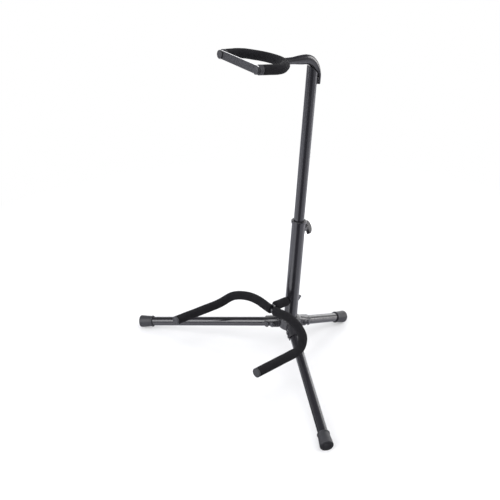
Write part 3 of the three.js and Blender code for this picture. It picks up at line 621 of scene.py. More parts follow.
def bentLine(corners, bends, spacing):
    # points along a rod whose corners are rounded, about evenly spaced
    corners = [Vector(corner) for corner in corners]
    line = []

    def addStraight(start, end):
        count = max(1, round((end - start).length / spacing))
        line.extend(start.lerp(end, step / count) for step in range(count))

    start = corners[0]
    for before, corner, after, bend in zip(corners, corners[1:], corners[2:], bends):
        inward, outward = (corner - before).normalized(), (after - corner).normalized()
        angle = inward.angle(outward)
        setback = bend * math.tan(angle / 2)
        bendStart = corner - inward * setback
        addStraight(start, bendStart)
        side = (outward - inward * math.cos(angle)).normalized()
        centre = bendStart + side * bend
        count = max(2, round(bend * angle / spacing))
        for step in range(count):
            turn = angle * step / count
            line.append(centre - side * bend * math.cos(turn) + inward * bend * math.sin(turn))
        start = corner + outward * setback
    addStraight(start, corners[-1])
    line.append(corners[-1])
    return line


def lineFrames(line):
    # a tangent and two square directions at each point, carried along without twist
    tangents = []
    for index in range(len(line)):
        ahead, behind = line[min(index + 1, len(line) - 1)], line[max(index - 1, 0)]
        tangents.append((ahead - behind).normalized())
    first = tangents[0].orthogonal().normalized()
    frames = []
    for tangent in tangents:
        first = (first - tangent * first.dot(tangent)).normalized()
        frames.append((tangent, first, tangent.cross(first)))
    return frames


def ringPoints(centre, around, radius, sides):
    ring = []
    for angle in anglesOf(sides):
        direction = around[1] * math.cos(angle) + around[2] * math.sin(angle)
        ring.append(centre + direction * valueAt(radius, direction))
    return ring


def rodShape(line, radius, sides=32):
    # a rod along a line. Its radius may be a function of the point's index
    rings = []
    for index, (centre, around) in enumerate(zip(line, lineFrames(line))):
        rings.append(ringPoints(centre, around, valueAt(radius, index), sides))
    return joinRings(rings)


def evenLine(points, spacing):
    # even points along a line of straight steps
    lengths = [0.0]
    for before, after in zip(points, points[1:]):
        lengths.append(lengths[-1] + (after - before).length)
    count = max(2, round(lengths[-1] / spacing))
    even = []
    segment = 0
    for step in range(count + 1):
        along = lengths[-1] * step / count
        while segment < len(points) - 2 and lengths[segment + 1] < along:
            segment += 1
        share = (along - lengths[segment]) / max(lengths[segment + 1] - lengths[segment], 1e-9)
        even.append(points[segment].lerp(points[segment + 1], min(share, 1)))
    return even


# Weld beads: a row of small overlapping ripples, thinner at both ends
weldValues = {"ripplePitch": 1.5, "rippleShare": 0.13, "spacing": 0.4, "taper": 3.0, "tip": 0.15}


def addWeld(name, points, radius, matrix, body):
    v = weldValues
    line = evenLine([Vector(point) for point in points], v["spacing"])
    last = len(line) - 1

    def radiusAt(index):
        fromEnd = min(index, last - index) * v["spacing"]
        taper = math.sqrt(min(1, (fromEnd + v["tip"]) / v["taper"]))
        ripple = abs(math.sin(math.pi * index * v["spacing"] / v["ripplePitch"]))
        return radius * taper * (1 - v["rippleShare"] + v["rippleShare"] * ripple)

    return addPiece(name, rodShape(line, radiusAt, 12), matrix, "bracketPaint", body, smoothDeg=60)


# The mast's tubes and what sits on them, in the CAD model's own millimetres
mastValues = {
    "lowerRadius": 14.3, "lowerBore": 13.1, "lowerBottom": -13, "lowerTop": 241,
    "upperRadius": 11.1, "upperBore": 9.9, "upperBottom": 82, "upperTop": 566,
    "copeDrop": 7, "copeDeg": 40.6,                # the slanted cut at the upper tube's top
    "plugLength": 26, "plugInset": 1,
    "bushLength": 34, "bushGap": 0.3,
    "collarRadius": 16.1, "collarHeight": 6.5, "collarRound": 1.4,
    "hubRadius": 23.8, "hubHalf": 12.3, "hubRound": 3.2, "hubWeld": 1.25,
    "clampHeight": 219, "bossFlat": 7.1,           # the hexagonal boss behind the lower tube
}


def buildMast(v):
    shell = tubeShape(v["lowerRadius"], v["lowerBore"], v["lowerBottom"], v["lowerTop"])
    addPiece("lowerTubeShell", shell, mastFrame, "tubePaint", "base", "lower_tube")

    slope = math.tan(math.radians(v["copeDeg"]))
    rim = v["upperTop"] - v["copeDrop"]
    shell = tubeShape(v["upperRadius"], v["upperBore"], v["upperBottom"], lambda x, y: rim - y * slope, 144)
    addPiece("upperTubeShell", shell, yokeFrame, "tubePaint", "upper_mast", "upper_tube")

    # the plug's top is cut to the same slope
    top = rim - v["plugInset"]
    low = top - v["plugLength"]
    rows = [(0.6, low, 0), (0.2, low + 0.5, 0), (0.2, top - 0.5, slope), (0.7, top, slope)]
    rings = []
    for inset, height, lean in rows:
        ring = [turned(v["upperBore"] - inset, angle, height) for angle in anglesOf(96)]
        rings.append([(x, y, z - y * lean) for x, y, z in ring])
    addPiece("upperTubePlug", joinRings(rings), yokeFrame, "blackPlastic", "upper_mast", "mast_top_plug")

    inner, outer, high = v["upperRadius"] + v["bushGap"], v["lowerBore"] - 0.2, v["lowerTop"] - 0.5
    low = high - v["bushLength"]
    profile = [(inner, low), (outer, low), (outer, high - 0.3), (outer - 0.3, high), (inner + 0.4, high),
               (inner, high - 0.4), (inner, low)]
    addPiece("mouthBush", turnedShape(profile), mastFrame, "blackPlastic", "base", "guide_bush")

    inner, outer, edge = v["lowerRadius"] + 0.15, v["collarRadius"], v["collarRound"]
    low, high = v["lowerTop"] - v["collarHeight"], v["lowerTop"] + 0.2
    profile = [(inner, low), *arcPoints((outer - edge, low + edge), edge, -90, 0),
               *arcPoints((outer - edge, high - edge), edge, 0, 90), (inner - 0.9, high),
               (inner - 1.3, high - 0.5), (inner - 1.3, high - 2.0), (inner, high - 2.4), (inner, low)]
    addPiece("collarRoll", turnedShape(profile), mastFrame, "tubePaint", "base", "collar_ring")

    inner, outer, edge, half = v["lowerRadius"] + 0.2, v["hubRadius"], v["hubRound"], v["hubHalf"]
    profile = [(inner, -half), *arcPoints((outer - edge, -half + edge), edge, -90, 0),
               *arcPoints((outer - edge, half - edge), edge, 0, 90), (inner, half), (inner, -half)]
    addPiece("hubCollar", turnedShape(profile), mastFrame, "bracketPaint", "base", "hub_ring")
    for end, height in (("top", half + 0.1), ("bottom", -half - 0.1)):
        circle = [(x, y, height) for x, y in circlePath(v["lowerRadius"] * 1.05, 90)]
        addWeld("hubWeld_" + end, circle, v["hubWeld"], mastFrame, "base")


buildMast(mastValues)
print("mast ready")


# Foam sleeves: an outer skin with rounded ends, dents and creases, and its bore
foamShapes = {"edge": 1.3, "sides": 56, "lump": 0.22, "crease": 0.4, "creasePitch": 5.2, "bore": 5.3}


def bendSides(line):
    # the direction from the rod towards the inside of a bend, as long as the bend is sharp
    sides = []
    for index in range(len(line)):
        reach = min(3, index, len(line) - 1 - index)
        side = (line[index - reach] + line[index + reach]) / 2 - line[index]
        sides.append(side / max(side.length, 0.25))
    return sides


def sleeveShape(line, outer, spacing, seed):
    v = foamShapes
    frames, bends = lineFrames(line), bendSides(line)
    last = len(line) - 1
    rings = []
    for index, (centre, around) in enumerate(zip(line, frames)):
        fromEnd = min((centre - line[0]).length, (centre - line[last]).length)
        inset = 0
        if fromEnd < v["edge"]:
            inset = v["edge"] - math.sqrt(max(v["edge"] ** 2 - (v["edge"] - fromEnd) ** 2, 0))
        wave = 0.5 + 0.5 * math.sin(fullTurn * index * spacing / v["creasePitch"] + seed)

        def radiusAt(direction):
            lump = noise.noise(centre * 0.07 + direction * 0.6 + Vector((seed, 0, 0)))
            fine = noise.noise(centre * 0.3 + direction * 2.2 + Vector((0, seed, 0)))
            inner = max(0.0, direction.dot(bends[index]))
            return outer - inset + v["lump"] * (lump + 0.5 * fine) - v["crease"] * inner * inner * wave

        rings.append(ringPoints(centre, around, radiusAt, v["sides"]))
    for index in [*range(last, 0, -3), 0]:
        rings.append(ringPoints(line[index], frames[index], v["bore"], v["sides"]))
    return joinRings(rings, True)


def denseEnds(line, edge):
    # a few more points in the rounded ends of a sleeve
    shares = (0, 0.06, 0.2, 0.45)
    inward, outward = (line[1] - line[0]).normalized(), (line[-2] - line[-1]).normalized()
    start = [line[0] + inward * edge * share for share in shares]
    end = [line[-1] + outward * edge * share for share in reversed(shares)]
    clear = edge * 0.7
    middle = [point for point in line[1:-1] if (point - line[0]).length > clear < (point - line[-1]).length]
    return start + middle + end


def addSleeve(name, node, line, outer, matrix, body, spacing, seed):
    line = denseEnds(line, foamShapes["edge"])
    shape = sleeveShape(line, outer, spacing, seed)
    addPiece(name, shape, matrix, "foamSleeve", body, node, smoothDeg=70)


def mirroredCorners(origin, middle, *arm):
    left = [(-x, y, z) for x, y, z in reversed(arm)]
    return [Vector(corner) + Vector(origin) for corner in [*left, middle, *arm]]


def shortened(corners, length):
    ends = [corner.copy() for corner in corners]
    ends[0] += (ends[1] - ends[0]).normalized() * length
    ends[-1] += (ends[-2] - ends[-1]).normalized() * length
    return ends


def clipLine(line, sign, limit):
    # the part of a line that lies beyond a limit on one side, ending right at the limit
    kept = []
    for index, point in enumerate(line):
        if point.x * sign >= limit:
            kept.append(point)
            continue
        for other in (line[max(index - 1, 0)], line[min(index + 1, len(line) - 1)]):
            if other.x * sign >= limit:
                share = (limit - point.x * sign) / ((other.x - point.x) * sign)
                kept.append(point.lerp(other, share))
    return kept


# Cradle: a stem forward from the mast, and a bent rod with a sleeve on each arm
stemValues = {"height": 54.6, "reach": 58.7, "radius": 5, "bore": 3.2, "foamRadius": 9.8,
              "foamFrom": -15.9, "foamTo": -50.2, "weld": 0.9}
cradleValues = {
    "shoulder": (69.7, -0.5, 9.2), "knee": (112.2, -17.1, -7.5), "elbow": (123.9, -38, -22.5),
    "tip": (127.5, -162.4, -17.7), "rodDrop": 8.4, "bends": (39, 36, 116, 130, 116, 36, 39),
    "bareLeft": 2, "bareRight": 8.5,               # where the sleeves start, from the middle
    "foamRadius": 9.6, "rodRadius": 5, "capLength": 4,
}


def addStem(v, rodRadius, apex):
    # apex is the middle of the cradle's rod, in the mast's frame
    low, high = v["foamTo"], v["foamFrom"]
    line = [Vector((0, low + (high - low) * step / 20, v["height"])) for step in range(21)]
    addSleeve("stemSleeve", "stem_foam", line, v["foamRadius"], mastFrame, "base", 1.35, 5.5)

    touch = rodRadius + 0.2

    def rodReach(height):
        # how far the rod's surface stands back from its middle at a height
        return math.sqrt(max(touch ** 2 - (height - apex.z) ** 2, 0))

    def stemEnd(x, y):
        return -apex.y - rodReach(v["height"] + y)

    def stemStart(x, y):
        return math.sqrt((mastValues["lowerRadius"] + 0.25) ** 2 - x * x)

    place = mastFrame @ Matrix.Translation((0, 0, v["height"] * mm)) @ Matrix.Rotation(math.pi / 2, 4, "X")
    stem = tubeShape(v["radius"], v["bore"], stemStart, stemEnd)
    addPiece("cradleStem", stem, place, "tubePaint", "base", "cradle_stem")
    saddle = [(x, v["height"] + up) for x, up in circlePath(v["radius"] + 0.2, 60)]
    saddle = [(x, apex.y + rodReach(height), height) for x, height in saddle]
    addWeld("stemWeld", saddle, v["weld"], mastFrame, "base")


def buildCradle(v):
    toStand = Matrix.Rotation(-mastTilt, 3, "X")
    stemEnd = toStand @ Vector((0, -stemValues["reach"], stemValues["height"]))
    origin = stemEnd - Vector((0, 0, v["rodDrop"]))
    corners = mirroredCorners(origin, (0, 0, 0), v["shoulder"], v["knee"], v["elbow"], v["tip"])
    spacing = 1.6
    sleeveLine = bentLine(shortened(corners, v["capLength"] + 0.3), v["bends"], spacing)
    for side, sign, bare, seed in (("left", -1, v["bareLeft"], 3.1), ("right", 1, v["bareRight"], 8.7)):
        name, node = "cradleSleeve_" + side, "cradle_foam_" + side
        arm = clipLine(sleeveLine, sign, bare)
        addSleeve(name, node, arm, v["foamRadius"], standFrame, "base", spacing, seed)
    rodLine = bentLine(shortened(corners, 1.4), v["bends"], 2.5)
    rod = rodShape(rodLine, v["rodRadius"], 40)
    addPiece("cradleRod", rod, standFrame, "tubePaint", "base", "cradle_bar")
    apex = min(rodLine, key=lambda point: abs(point.x))
    addStem(stemValues, v["rodRadius"], Matrix.Rotation(mastTilt, 3, "X") @ apex)
    return corners


cradleCorners = buildCradle(cradleValues)
print("cradle ready")


# The post: a tube hooked over the mast's top, pressed flat where it is welded behind it
postValues = {
    "back": 15.05, "top": 580.5, "bottom": 530.5, "bend": 36, "radius": 7, "swell": 0.4,
    "flatHalf": 3.5, "flatWide": 8, "squareness": 0.42,   # its section at the weld
    "flattenDeg": 34, "outerDeg": 68,                     # where along the bend the flattening starts
    "endRound": 2.2, "slotHalf": 0.7, "slotInset": 2.2, "slotDepth": 5,
    "seamSide": 6.2, "seamBack": 10.4, "seamLength": 14,
}
bendCentre = (postValues["back"] - postValues["bend"], postValues["top"] - postValues["bend"])


def smoothShare(share):
    share = min(max(share, 0), 1)
    return share * share * (3 - 2 * share)


def postSection(centre, tangent, shrink=0, slot=False, sides=72):
    # the post's outline at one place: it swells toward the bend and is pressed flat towards its weld end
    v = postValues
    forward, upright = centre.y - bendCentre[0], centre.z - bendCentre[1]
    turn = math.degrees(math.atan2(max(upright, 0), forward)) if forward > 0 else 90
    share = 1 - smoothShare(turn / v["flattenDeg"])
    outerShare = 1 - smoothShare(turn / v["outerDeg"])
    swollen = v["radius"] * (1 + v["swell"] * smoothShare(1 + forward / v["bend"]))
    inner = swollen + (v["flatHalf"] - swollen) * share - shrink
    outer = swollen + (v["flatHalf"] - swollen) * outerShare - shrink
    wide = v["radius"] + (v["flatWide"] - v["radius"]) * share - shrink
    short = v["endRound"] - (centre.z - v["bottom"])
    if short > 0:
        outer -= v["endRound"] - math.sqrt(max(v["endRound"] ** 2 - short ** 2, 0))
    if slot:
        inner, outer, wide = v["slotHalf"], v["slotHalf"], wide - v["slotInset"]
    power = 1 - v["squareness"] * share
    away = Vector((0, -tangent.z, tangent.y))
    ring = []
    for angle in anglesOf(sides):
        sine = math.sin(angle)
        lift = (outer if sine > 0 else inner) * math.copysign(abs(sine) ** power, sine)
        ring.append(centre + Vector((wide * math.cos(angle), 0, 0)) + away * lift)
    return ring


def buildPost(v, apexY):
    # apexY is the middle of the yoke's rod, where the post ends inside the foam
    corners = [(0, apexY - 2, v["top"]), (0, v["back"], v["top"]), (0, v["back"], v["bottom"])]
    line = bentLine(corners, (v["bend"],), 1.2)
    frames = lineFrames(line)
    rings = [postSection(centre, around[0]) for centre, around in zip(line[:-2], frames)]
    end, down = line[-1], frames[-1][0]
    rings += [postSection(end - down * back, down) for back in (1.7, 1.1, 0.6, 0.25)]
    rings.append(postSection(end, down, 0.3))
    rings.append(postSection(end, down, slot=True))
    rings.append(postSection(end - down * v["slotDepth"], down, slot=True))
    shape = joinRings(rings)
    addPiece("yokePostTube", shape, yokeFrame, "tubePaint", "upper_mast", "yoke_post", smoothDeg=50)
    seamStart = v["bottom"] + 0.8
    for side, sign in (("left", -1), ("right", 1)):
        seam = [(sign * v["seamSide"], v["seamBack"], seamStart + up) for up in range(v["seamLength"])]
        addWeld("postWeld_" + side, seam, 1.6, yokeFrame, "upper_mast")
    tube = mastValues["upperRadius"]
    foot = [(x / 2, math.sqrt(tube ** 2 - (x / 2) ** 2) + 0.4, v["bottom"] + 0.1) for x in range(-12, 13)]
    addWeld("postWeld_foot", foot, 1.4, yokeFrame, "upper_mast")


# Yoke: one sleeve round a bent rod that the post comes into
yokeValues = {
    "middle": (0, -56.5, 0.2), "corner": (66, -121.5, 5.6), "tip": (63.5, -166.8, 8),
    "bends": (37, 61.6, 37), "farShift": 4,        # the far tip bends in by that much
    "foamShort": 4, "foamRadius": 9.6, "capStart": 3.7, "capLength": 8,
    "lipRadius": 7.3, "lipBack": 8.7, "lipThick": 1.3,
}


def buildYoke(v):
    corners = mirroredCorners((0, 0, postValues["top"]), v["middle"], v["corner"], v["tip"])
    corners[0].x += v["farShift"]
    spacing = 1.5
    line = bentLine(shortened(corners, v["foamShort"]), v["bends"], spacing)
    addSleeve("yokeSleeve", "yoke_foam", line, v["foamRadius"], yokeFrame, "upper_mast", spacing, 1.7)
    apex = min(line, key=lambda point: abs(point.x))
    buildPost(postValues, apex.y)
    # the foam swells a little where the post comes through it
    swell = []
    for x, up in circlePath(v["lipRadius"], 60):
        swell.append(Vector((x, apex.y + v["lipBack"] - 0.03 * x ** 2, postValues["top"] + up)))
    lip = rodShape(swell, v["lipThick"], 14)
    addPiece("postLip", lip, yokeFrame, "foamSleeve", "upper_mast", smoothDeg=70)
    return corners


yokeCorners = buildYoke(yokeValues)
print("yoke and post ready")


# End caps on the rods' tips, the strap's pegs and the strap
capValues = {"radius": 9.6, "edge": 1.1, "dish": 0.4, "rim": 1.3, "bore": 5.3, "socket": 2.9,
             "pegBore": 3.2, "pegDepth": 4.4}
pegValues = {"radius": 2.8, "root": -4.1, "gap": 0.9, "head": 8.3, "headHeight": 2.6, "headRound": 1.2}
strapValues = {"thick": 2.8, "half": 8, "bevel": 0.55, "holePlay": 0.4, "hookDeg": 248, "lipRound": 0.9}


def capProfile(length, v, pegHole):
    radius, edge, bore = v["radius"], v["edge"], v["bore"]
    face = length - v["dish"]
    inner = radius - edge - v["rim"]
    profile = [(0, 0), (0.01, v["socket"]), (bore, v["socket"]), (bore, 0)]
    profile += [(radius - 0.35, 0), (radius, 0.35)]
    profile += arcPoints((radius - edge, length - edge), edge, 0, 90)
    profile += [(inner, length), (inner - 0.4, face)]
    if pegHole:
        deep = length - v["pegDepth"]
        profile += [(v["pegBore"], face), (v["pegBore"], deep), (0.01, deep)]
    else:
        profile += [(1.6, face), (1.1, face - 0.5), (0.01, face - 0.5)]
    return [*profile, (0, 0)]


def pegProfile(v):
    neck, head, edge = v["radius"], v["head"], v["headRound"]
    low = v["gap"] + strapValues["thick"] + 0.4
    high = low + v["headHeight"]
    profile = [(0, 0), (0.01, v["root"]), (neck, v["root"]), (neck, low)]
    profile += [(head - 0.8, low), (head, low + 0.8), *arcPoints((head - edge, high - edge), edge, 0, 80)]
    return [*profile, (head * 0.5, high + 0.12), (0.01, high + 0.2), (0, 0)]


def flatShape(outlines, thick, bevel, steps):
    # a plate from closed 2D outlines, the first one outside and the rest holes, with rounded edges
    curve = bpy.data.curves.new("flatShape", "CURVE")
    curve.dimensions = "2D"
    curve.fill_mode = "BOTH"
    curve.extrude = thick / 2 - bevel
    curve.bevel_depth = bevel
    curve.bevel_resolution = steps
    curve.offset = -bevel
    for outline in outlines:
        spline = curve.splines.new("POLY")
        spline.points.add(len(outline) - 1)
        for point, (x, y) in zip(spline.points, outline):
            point.co = (x, y, 0, 1)
        spline.use_cyclic_u = True
    holder = bpy.data.objects.new("flatShape", curve)
    mesh = bpy.data.meshes.new_from_object(holder)
    work = bmesh.new()
    work.from_mesh(mesh)
    bmesh.ops.remove_doubles(work, verts=work.verts, dist=1e-4)
    points = [tuple(vertex.co) for vertex in work.verts]
    faces = [tuple(vertex.index for vertex in face.verts) for face in work.faces]
    work.free()
    bpy.data.objects.remove(holder)
    bpy.data.curves.remove(curve)
    bpy.data.meshes.remove(mesh)
    return points, faces


def strapOutlines(span, v):
    # a hole round the near peg, and a hook that drops over the far peg from above
    half, hole, lip = v["half"], pegValues["radius"] + v["holePlay"], v["lipRound"]
    outside = arcPoints((0, 0), half, -90, 90, 24) + arcPoints((-span, 0), half, 90, v["hookDeg"], 26)
    outside += arcPoints((-span - hole, -half + 1.2), lip, 200, 350, 5)
    outside += arcPoints((-span, 0), hole, 180, 0, 20)
    outside += arcPoints((-span + hole + lip, -half + lip), lip, 180, 270, 5)
    return [outside, arcPoints((0, 0), hole, 360, 10, 30)]


def buildTips():
    pegPlaces = []
    for side, first, second in (("left", 0, 1), ("right", -1, -2)):
        tip, before = cradleCorners[first], cradleCorners[second]
        direction = (tip - before).normalized()
        length = cradleValues["capLength"]
        place = standFrame @ aimFrame((tip - direction * length) * mm, direction)
        cap = turnedShape(capProfile(length, capValues, False))
        addPiece("cradleCap_" + side, cap, place, "capPlastic", "base", "cradle_cap_" + side)

        tip, before = yokeCorners[first], yokeCorners[second]
        direction = (tip - before).normalized()
        start = tip - direction * yokeValues["capStart"]
        place = yokeFrame @ aimFrame(start * mm, direction)
        cap = turnedShape(capProfile(yokeValues["capLength"], capValues, True))
        addPiece("yokeCap_" + side, cap, place, "capPlastic", "upper_mast", "yoke_cap_" + side)

        face = start + direction * yokeValues["capLength"]
        pegWay = Vector((0, (tip - before).y, (tip - before).z)).normalized()
        place = yokeFrame @ aimFrame(face * mm, pegWay)
        peg = turnedShape(pegProfile(pegValues))
        addPiece("strapPeg_" + side, peg, place, "capPlastic", "upper_mast", "strap_peg_" + side)
        pegPlaces.append((face.x, place))

    (farX, _), (nearX, place) = pegPlaces
    thick = strapValues["thick"]
    shape = flatShape(strapOutlines(nearX - farX, strapValues), thick, strapValues["bevel"], 3)
    place = place @ Matrix.Translation((0, 0, (pegValues["gap"] + thick / 2) * mm))
    addPiece("neckStrap", shape, place, "strapRubber", "strap", "neck_strap", smoothDeg=50)


buildTips()
print("tips and strap ready")


# Bolts, nuts and threads
boltValues = {"shaft": 3.0, "thread": 2.95, "threadDepth": 0.55, "pitch": 1.0, "headRadius": 4.7,
              "headHeight": 2.6, "socket": 2.0, "nutAcross": 10, "nutHeight": 4.6, "nutBore": 3.0}


def hexReach(flat, angle):
    # from the middle of a hexagon to its side
    sixth = math.pi / 3
    return flat / math.cos((angle + sixth / 2) % sixth - sixth / 2)


def threadShape(low, high, pitch, sides=28):
    # a threaded rod along Z with broken ends
    radius, depth = boltValues["thread"], boltValues["threadDepth"]
    count = round((high - low) / (pitch / 6))
    rings = []
    for step in range(count + 1):
        height = low + (high - low) * step / count
        fromEnd = min(height - low, high - height)
        top = radius - max(0, 0.8 - fromEnd) * 0.9
        ring = []
        for angle in anglesOf(sides):
            phase = (height / pitch - angle / fullTurn) % 1
            crest = abs(2 * phase - 1)
            ring.append(turned(min(top, radius - depth * (1 - crest)), angle, height))
        rings.append(ring)
    return joinRings(rings)


def nutShape(v, perSide=10):
    # a hexagonal nut whose corners are turned off at 30 degrees on both faces
    flat, height, bore = v["nutAcross"] / 2, v["nutHeight"], v["nutBore"]
    slope = math.tan(math.radians(30))
    rings = [[] for _ in range(8)]
    for angle in anglesOf(perSide * 6):
        corner = hexReach(flat, angle)
        drop = (corner - flat) * slope + 0.15
        rows = [(bore, height - 0.5), (bore + 0.5, height), (flat * 0.97, height), (corner, height - drop),
                (corner, drop), (flat * 0.97, 0), (bore + 0.5, 0), (bore, 0.5)]
        for ring, (radius, z) in zip(rings, rows):
            ring.append(turned(radius, angle, z))
    return joinRings(rings, True)


def headShape(shaft, low, headIn, v, socket=0):
    # a round-headed bolt along Z, with a hexagonal socket if it has one
    wide = v["headRadius"]
    top = headIn + v["headHeight"]
    rows = [(shaft * 0.85, low), (shaft, low + 0.4), (shaft, headIn)]
    rows += [(wide - 0.3, headIn), (wide, headIn + 0.3)]
    for crownDeg in range(0, 91, 12):
        turn = math.radians(crownDeg)
        rows.append((wide - 0.2 - wide * 0.45 * (1 - math.cos(turn)),
                     headIn + 0.7 + (v["headHeight"] - 0.7) * math.sin(turn)))
    angles = anglesOf(72)
    rings = [[turned(radius, angle, z) for angle in angles] for radius, z in rows]
    if socket:
        for widen, z in ((0.15, top), (0, top - 0.2), (0, top - 1.4)):
            rings.append([turned(hexReach(socket + widen, angle), angle, z) for angle in angles])
    return joinRings(rings)


# Wing knob: a half-moon plate on a small hub
knobValues = {"back": 23.7, "turnDeg": 58, "half": 15, "crown": 12, "lip": 1.5, "thick": 9, "bevel": 1.3,
              "hubRadius": 6.5, "hubHeight": 3.4, "screwPitch": 1.25}


def moonOutline(half, crown, lip, steps):
    points = []
    for step in range(steps + 1):
        angle = math.pi * step / steps
        points.append((half * math.cos(angle), lip + (crown - lip) * math.sin(angle)))
    return [(half, 0), *points, (-half, 0)]


def buildKnob(v):
    place = mastFrame @ Matrix.Translation((0, v["back"] * mm, mastValues["clampHeight"] * mm))
    place = place @ Matrix.Rotation(math.radians(v["turnDeg"]), 4, "Y")
    plate = flatShape([moonOutline(v["half"], v["crown"], v["lip"], 48)], v["thick"], v["bevel"], 5)
    addPiece("wingPlate", plate, place, "blackPlastic", "knob", "wing_knob", smoothDeg=40)
    toScrew = place @ Matrix.Rotation(-math.pi / 2, 4, "X")
    wide, low = v["hubRadius"], -v["hubHeight"]
    high = 1.4
    hub = [(0, 0), (0.01, low), (wide - 0.6, low), (wide, low + 0.6)]
    hub += [(wide - 0.5, high), (0.01, high), (0, 0)]
    addPiece("wingHub", turnedShape(hub, 64), toScrew, "blackPlastic", "knob")
    screwTip = mastValues["upperRadius"] + 0.3 - v["back"]
    screw = threadShape(screwTip, low, v["screwPitch"])
    addPiece("clampThread", screw, toScrew, "darkZinc", "screw", "clamp_screw")


buildKnob(knobValues)
print("knob ready")


# Feet: moulded rubber with a rim at the mouth, a waist, and a ring pressed in the end
footValues = {"length": 31, "end": 13.5, "edge": 1.7, "neck": 11.8, "rim": 12.7, "rimLength": 3,
              "rimEdge": 0.7, "bore": 10.1, "boreDepth": 5,
              "ringOuter": 8.5, "ringInner": 6.3, "ringDepth": 1.1}


def footProfile(length, v):
    # length is the whole leg's, from the mast's axis to the foot's end
    mouth = length - v["length"]
    rimEnd = mouth + v["rimLength"]
    floor = length - v["boreDepth"]
    bore, edge, rimEdge = v["bore"], v["edge"], v["rimEdge"]
    profile = [(0, floor), (0.01, floor), (bore, floor), (bore, mouth + 0.5), (bore + 0.5, mouth)]
    profile += arcPoints((v["rim"] - rimEdge, mouth + rimEdge), rimEdge, -90, 0)
    profile += arcPoints((v["rim"] - rimEdge, rimEnd - rimEdge), rimEdge, 0, 80)
    profile += [(v["neck"] + 0.12, rimEnd + 0.25), (v["neck"], rimEnd + 0.8)]
    waistStart, waistEnd = rimEnd + 0.8, length - edge
    for step in range(1, 13):
        share = step / 12
        radius = v["neck"] + (v["end"] - v["neck"]) * share
        profile.append((radius, waistStart + (waistEnd - waistStart) * share))
    profile += arcPoints((v["end"] - edge, length - edge), edge, 8, 90, 8)
    outer, inner, deep = v["ringOuter"], v["ringInner"], length - v["ringDepth"]
    profile += [(outer + 0.3, length), (outer, length - 0.3), (outer - 0.2, deep), (inner + 0.2, deep),
                (inner, length - 0.3), (inner - 0.3, length), (0.8, length), (0.01, length - 0.15)]
    return [*profile, (0, length - 0.15)]


# Leg brackets: pressed channels that wrap round the legs, open below
bracketValues = {"half": 11.9, "sheet": 1.6, "bend": 9.5, "rise": 2.4, "reach": 55, "drop": 7.5,
                 "corner": 4, "rim": 0.4, "notchGap": 0.3, "weld": 1.35}
legValues = {"radius": 10, "bore": 8.8, "frontLength": 355.8, "rearLength": 183.6, "pivot": 36.025,
             "stop": 47.5, "tail": 4.6, "pinRadius": 2.4}


def hitRing(matrix, y, z, radius):
    # how far out along a leg's X a line at y, z leaves the hub ring's cylinder
    axis = matrix.to_3x3().inverted() @ mastAxis
    base = Vector((0, y, z))
    flatBase = base - axis * base.dot(axis)
    flatWay = Vector((1, 0, 0)) - axis * axis.x
    a, b, c = flatWay.dot(flatWay), 2 * flatBase.dot(flatWay), flatBase.dot(flatBase) - radius ** 2
    return (-b + math.sqrt(max(b * b - 4 * a * c, 0))) / (2 * a)


def bracketRows(v):
    # the bracket's outer outline, up one cheek, over the top and down the other: y, z and the outward way
    half, bend = v["half"], v["bend"]
    flat = half - bend
    arm = [(half, -v["drop"] + v["corner"] * share, 1, 0) for share in (0, 0.03, 0.12, 0.25, 0.5, 0.8, 1)]
    arm.append((half, 0, 1, 0))
    for y, z, _ in [turned(1, math.pi / 2 * step / 12, 0) for step in range(13)]:
        arm.append((flat + bend * y, flat + bend * z, y, z))
    return arm + [(-y, z, -out, up) for y, z, out, up in reversed(arm)]


def bracketPoint(row, along, inward, v):
    # one point of the bracket: its top stands higher towards the hub
    y, z, out, up = row
    share = min(max(z / (v["half"] - v["bend"]), 0), 1)
    lift = v["rise"] * (1 - along / v["reach"]) * share
    return (along, y - out * inward, z + lift - up * inward)


def bracketShape(matrix, v):
    rows = bracketRows(v)
    sheet, rim, last = v["sheet"], v["rim"], len(rows) - 1
    edgeInsets = {0: 0.35, 1: 0.1}   # the sheet's lower edges are broken
    rings = []
    for index, row in enumerate(rows):
        start = hitRing(matrix, row[0], row[1] + v["rise"] * 0.6, mastValues["hubRadius"] + 0.35)
        above = max(v["corner"] - v["drop"] - row[1], 0)
        end = v["reach"] - v["corner"] + math.sqrt(max(v["corner"] ** 2 - above ** 2, 0))
        inset = edgeInsets.get(min(index, last - index), 0)
        quarter = [(0, rim), (0.3 * rim, 0.3 * rim), (rim, 0)]
        loop = [(start + along, inward) for along, inward in quarter]
        loop += [(end - along, inward) for along, inward in reversed(quarter)]
        loop += [(end - along, sheet - inward) for along, inward in quarter]
        loop += [(start + along, sheet - inward) for along, inward in reversed(quarter)]
        middle = (start + end) / 2
        ring = []
        for along, inward in loop:
            along += math.copysign(inset, middle - along)
            inward += math.copysign(min(inset, abs(sheet / 2 - inward) * 0.9), sheet / 2 - inward)
            ring.append(bracketPoint(row, along, inward, v))
        rings.append(ring)
    return joinRings(rings)


def notchShape(v):
    # the slot that the stop pin swings into, cut through both cheeks and open below
    arm, gap = legValues["stop"] - legValues["pivot"], legValues["pinRadius"] + v["notchGap"]
    swing = math.degrees(math.asin((v["drop"] + 2) / arm))
    outline = arcPoints((0, 0), arm + gap, -swing, 0, 8) + arcPoints((arm, 0), gap, 15, 165, 10)
    outline += arcPoints((0, 0), arm - gap, 0, -swing, 8)
    return joinRings([[(legValues["pivot"] + x, y, z) for x, z in outline] for y in (-20, 20)])


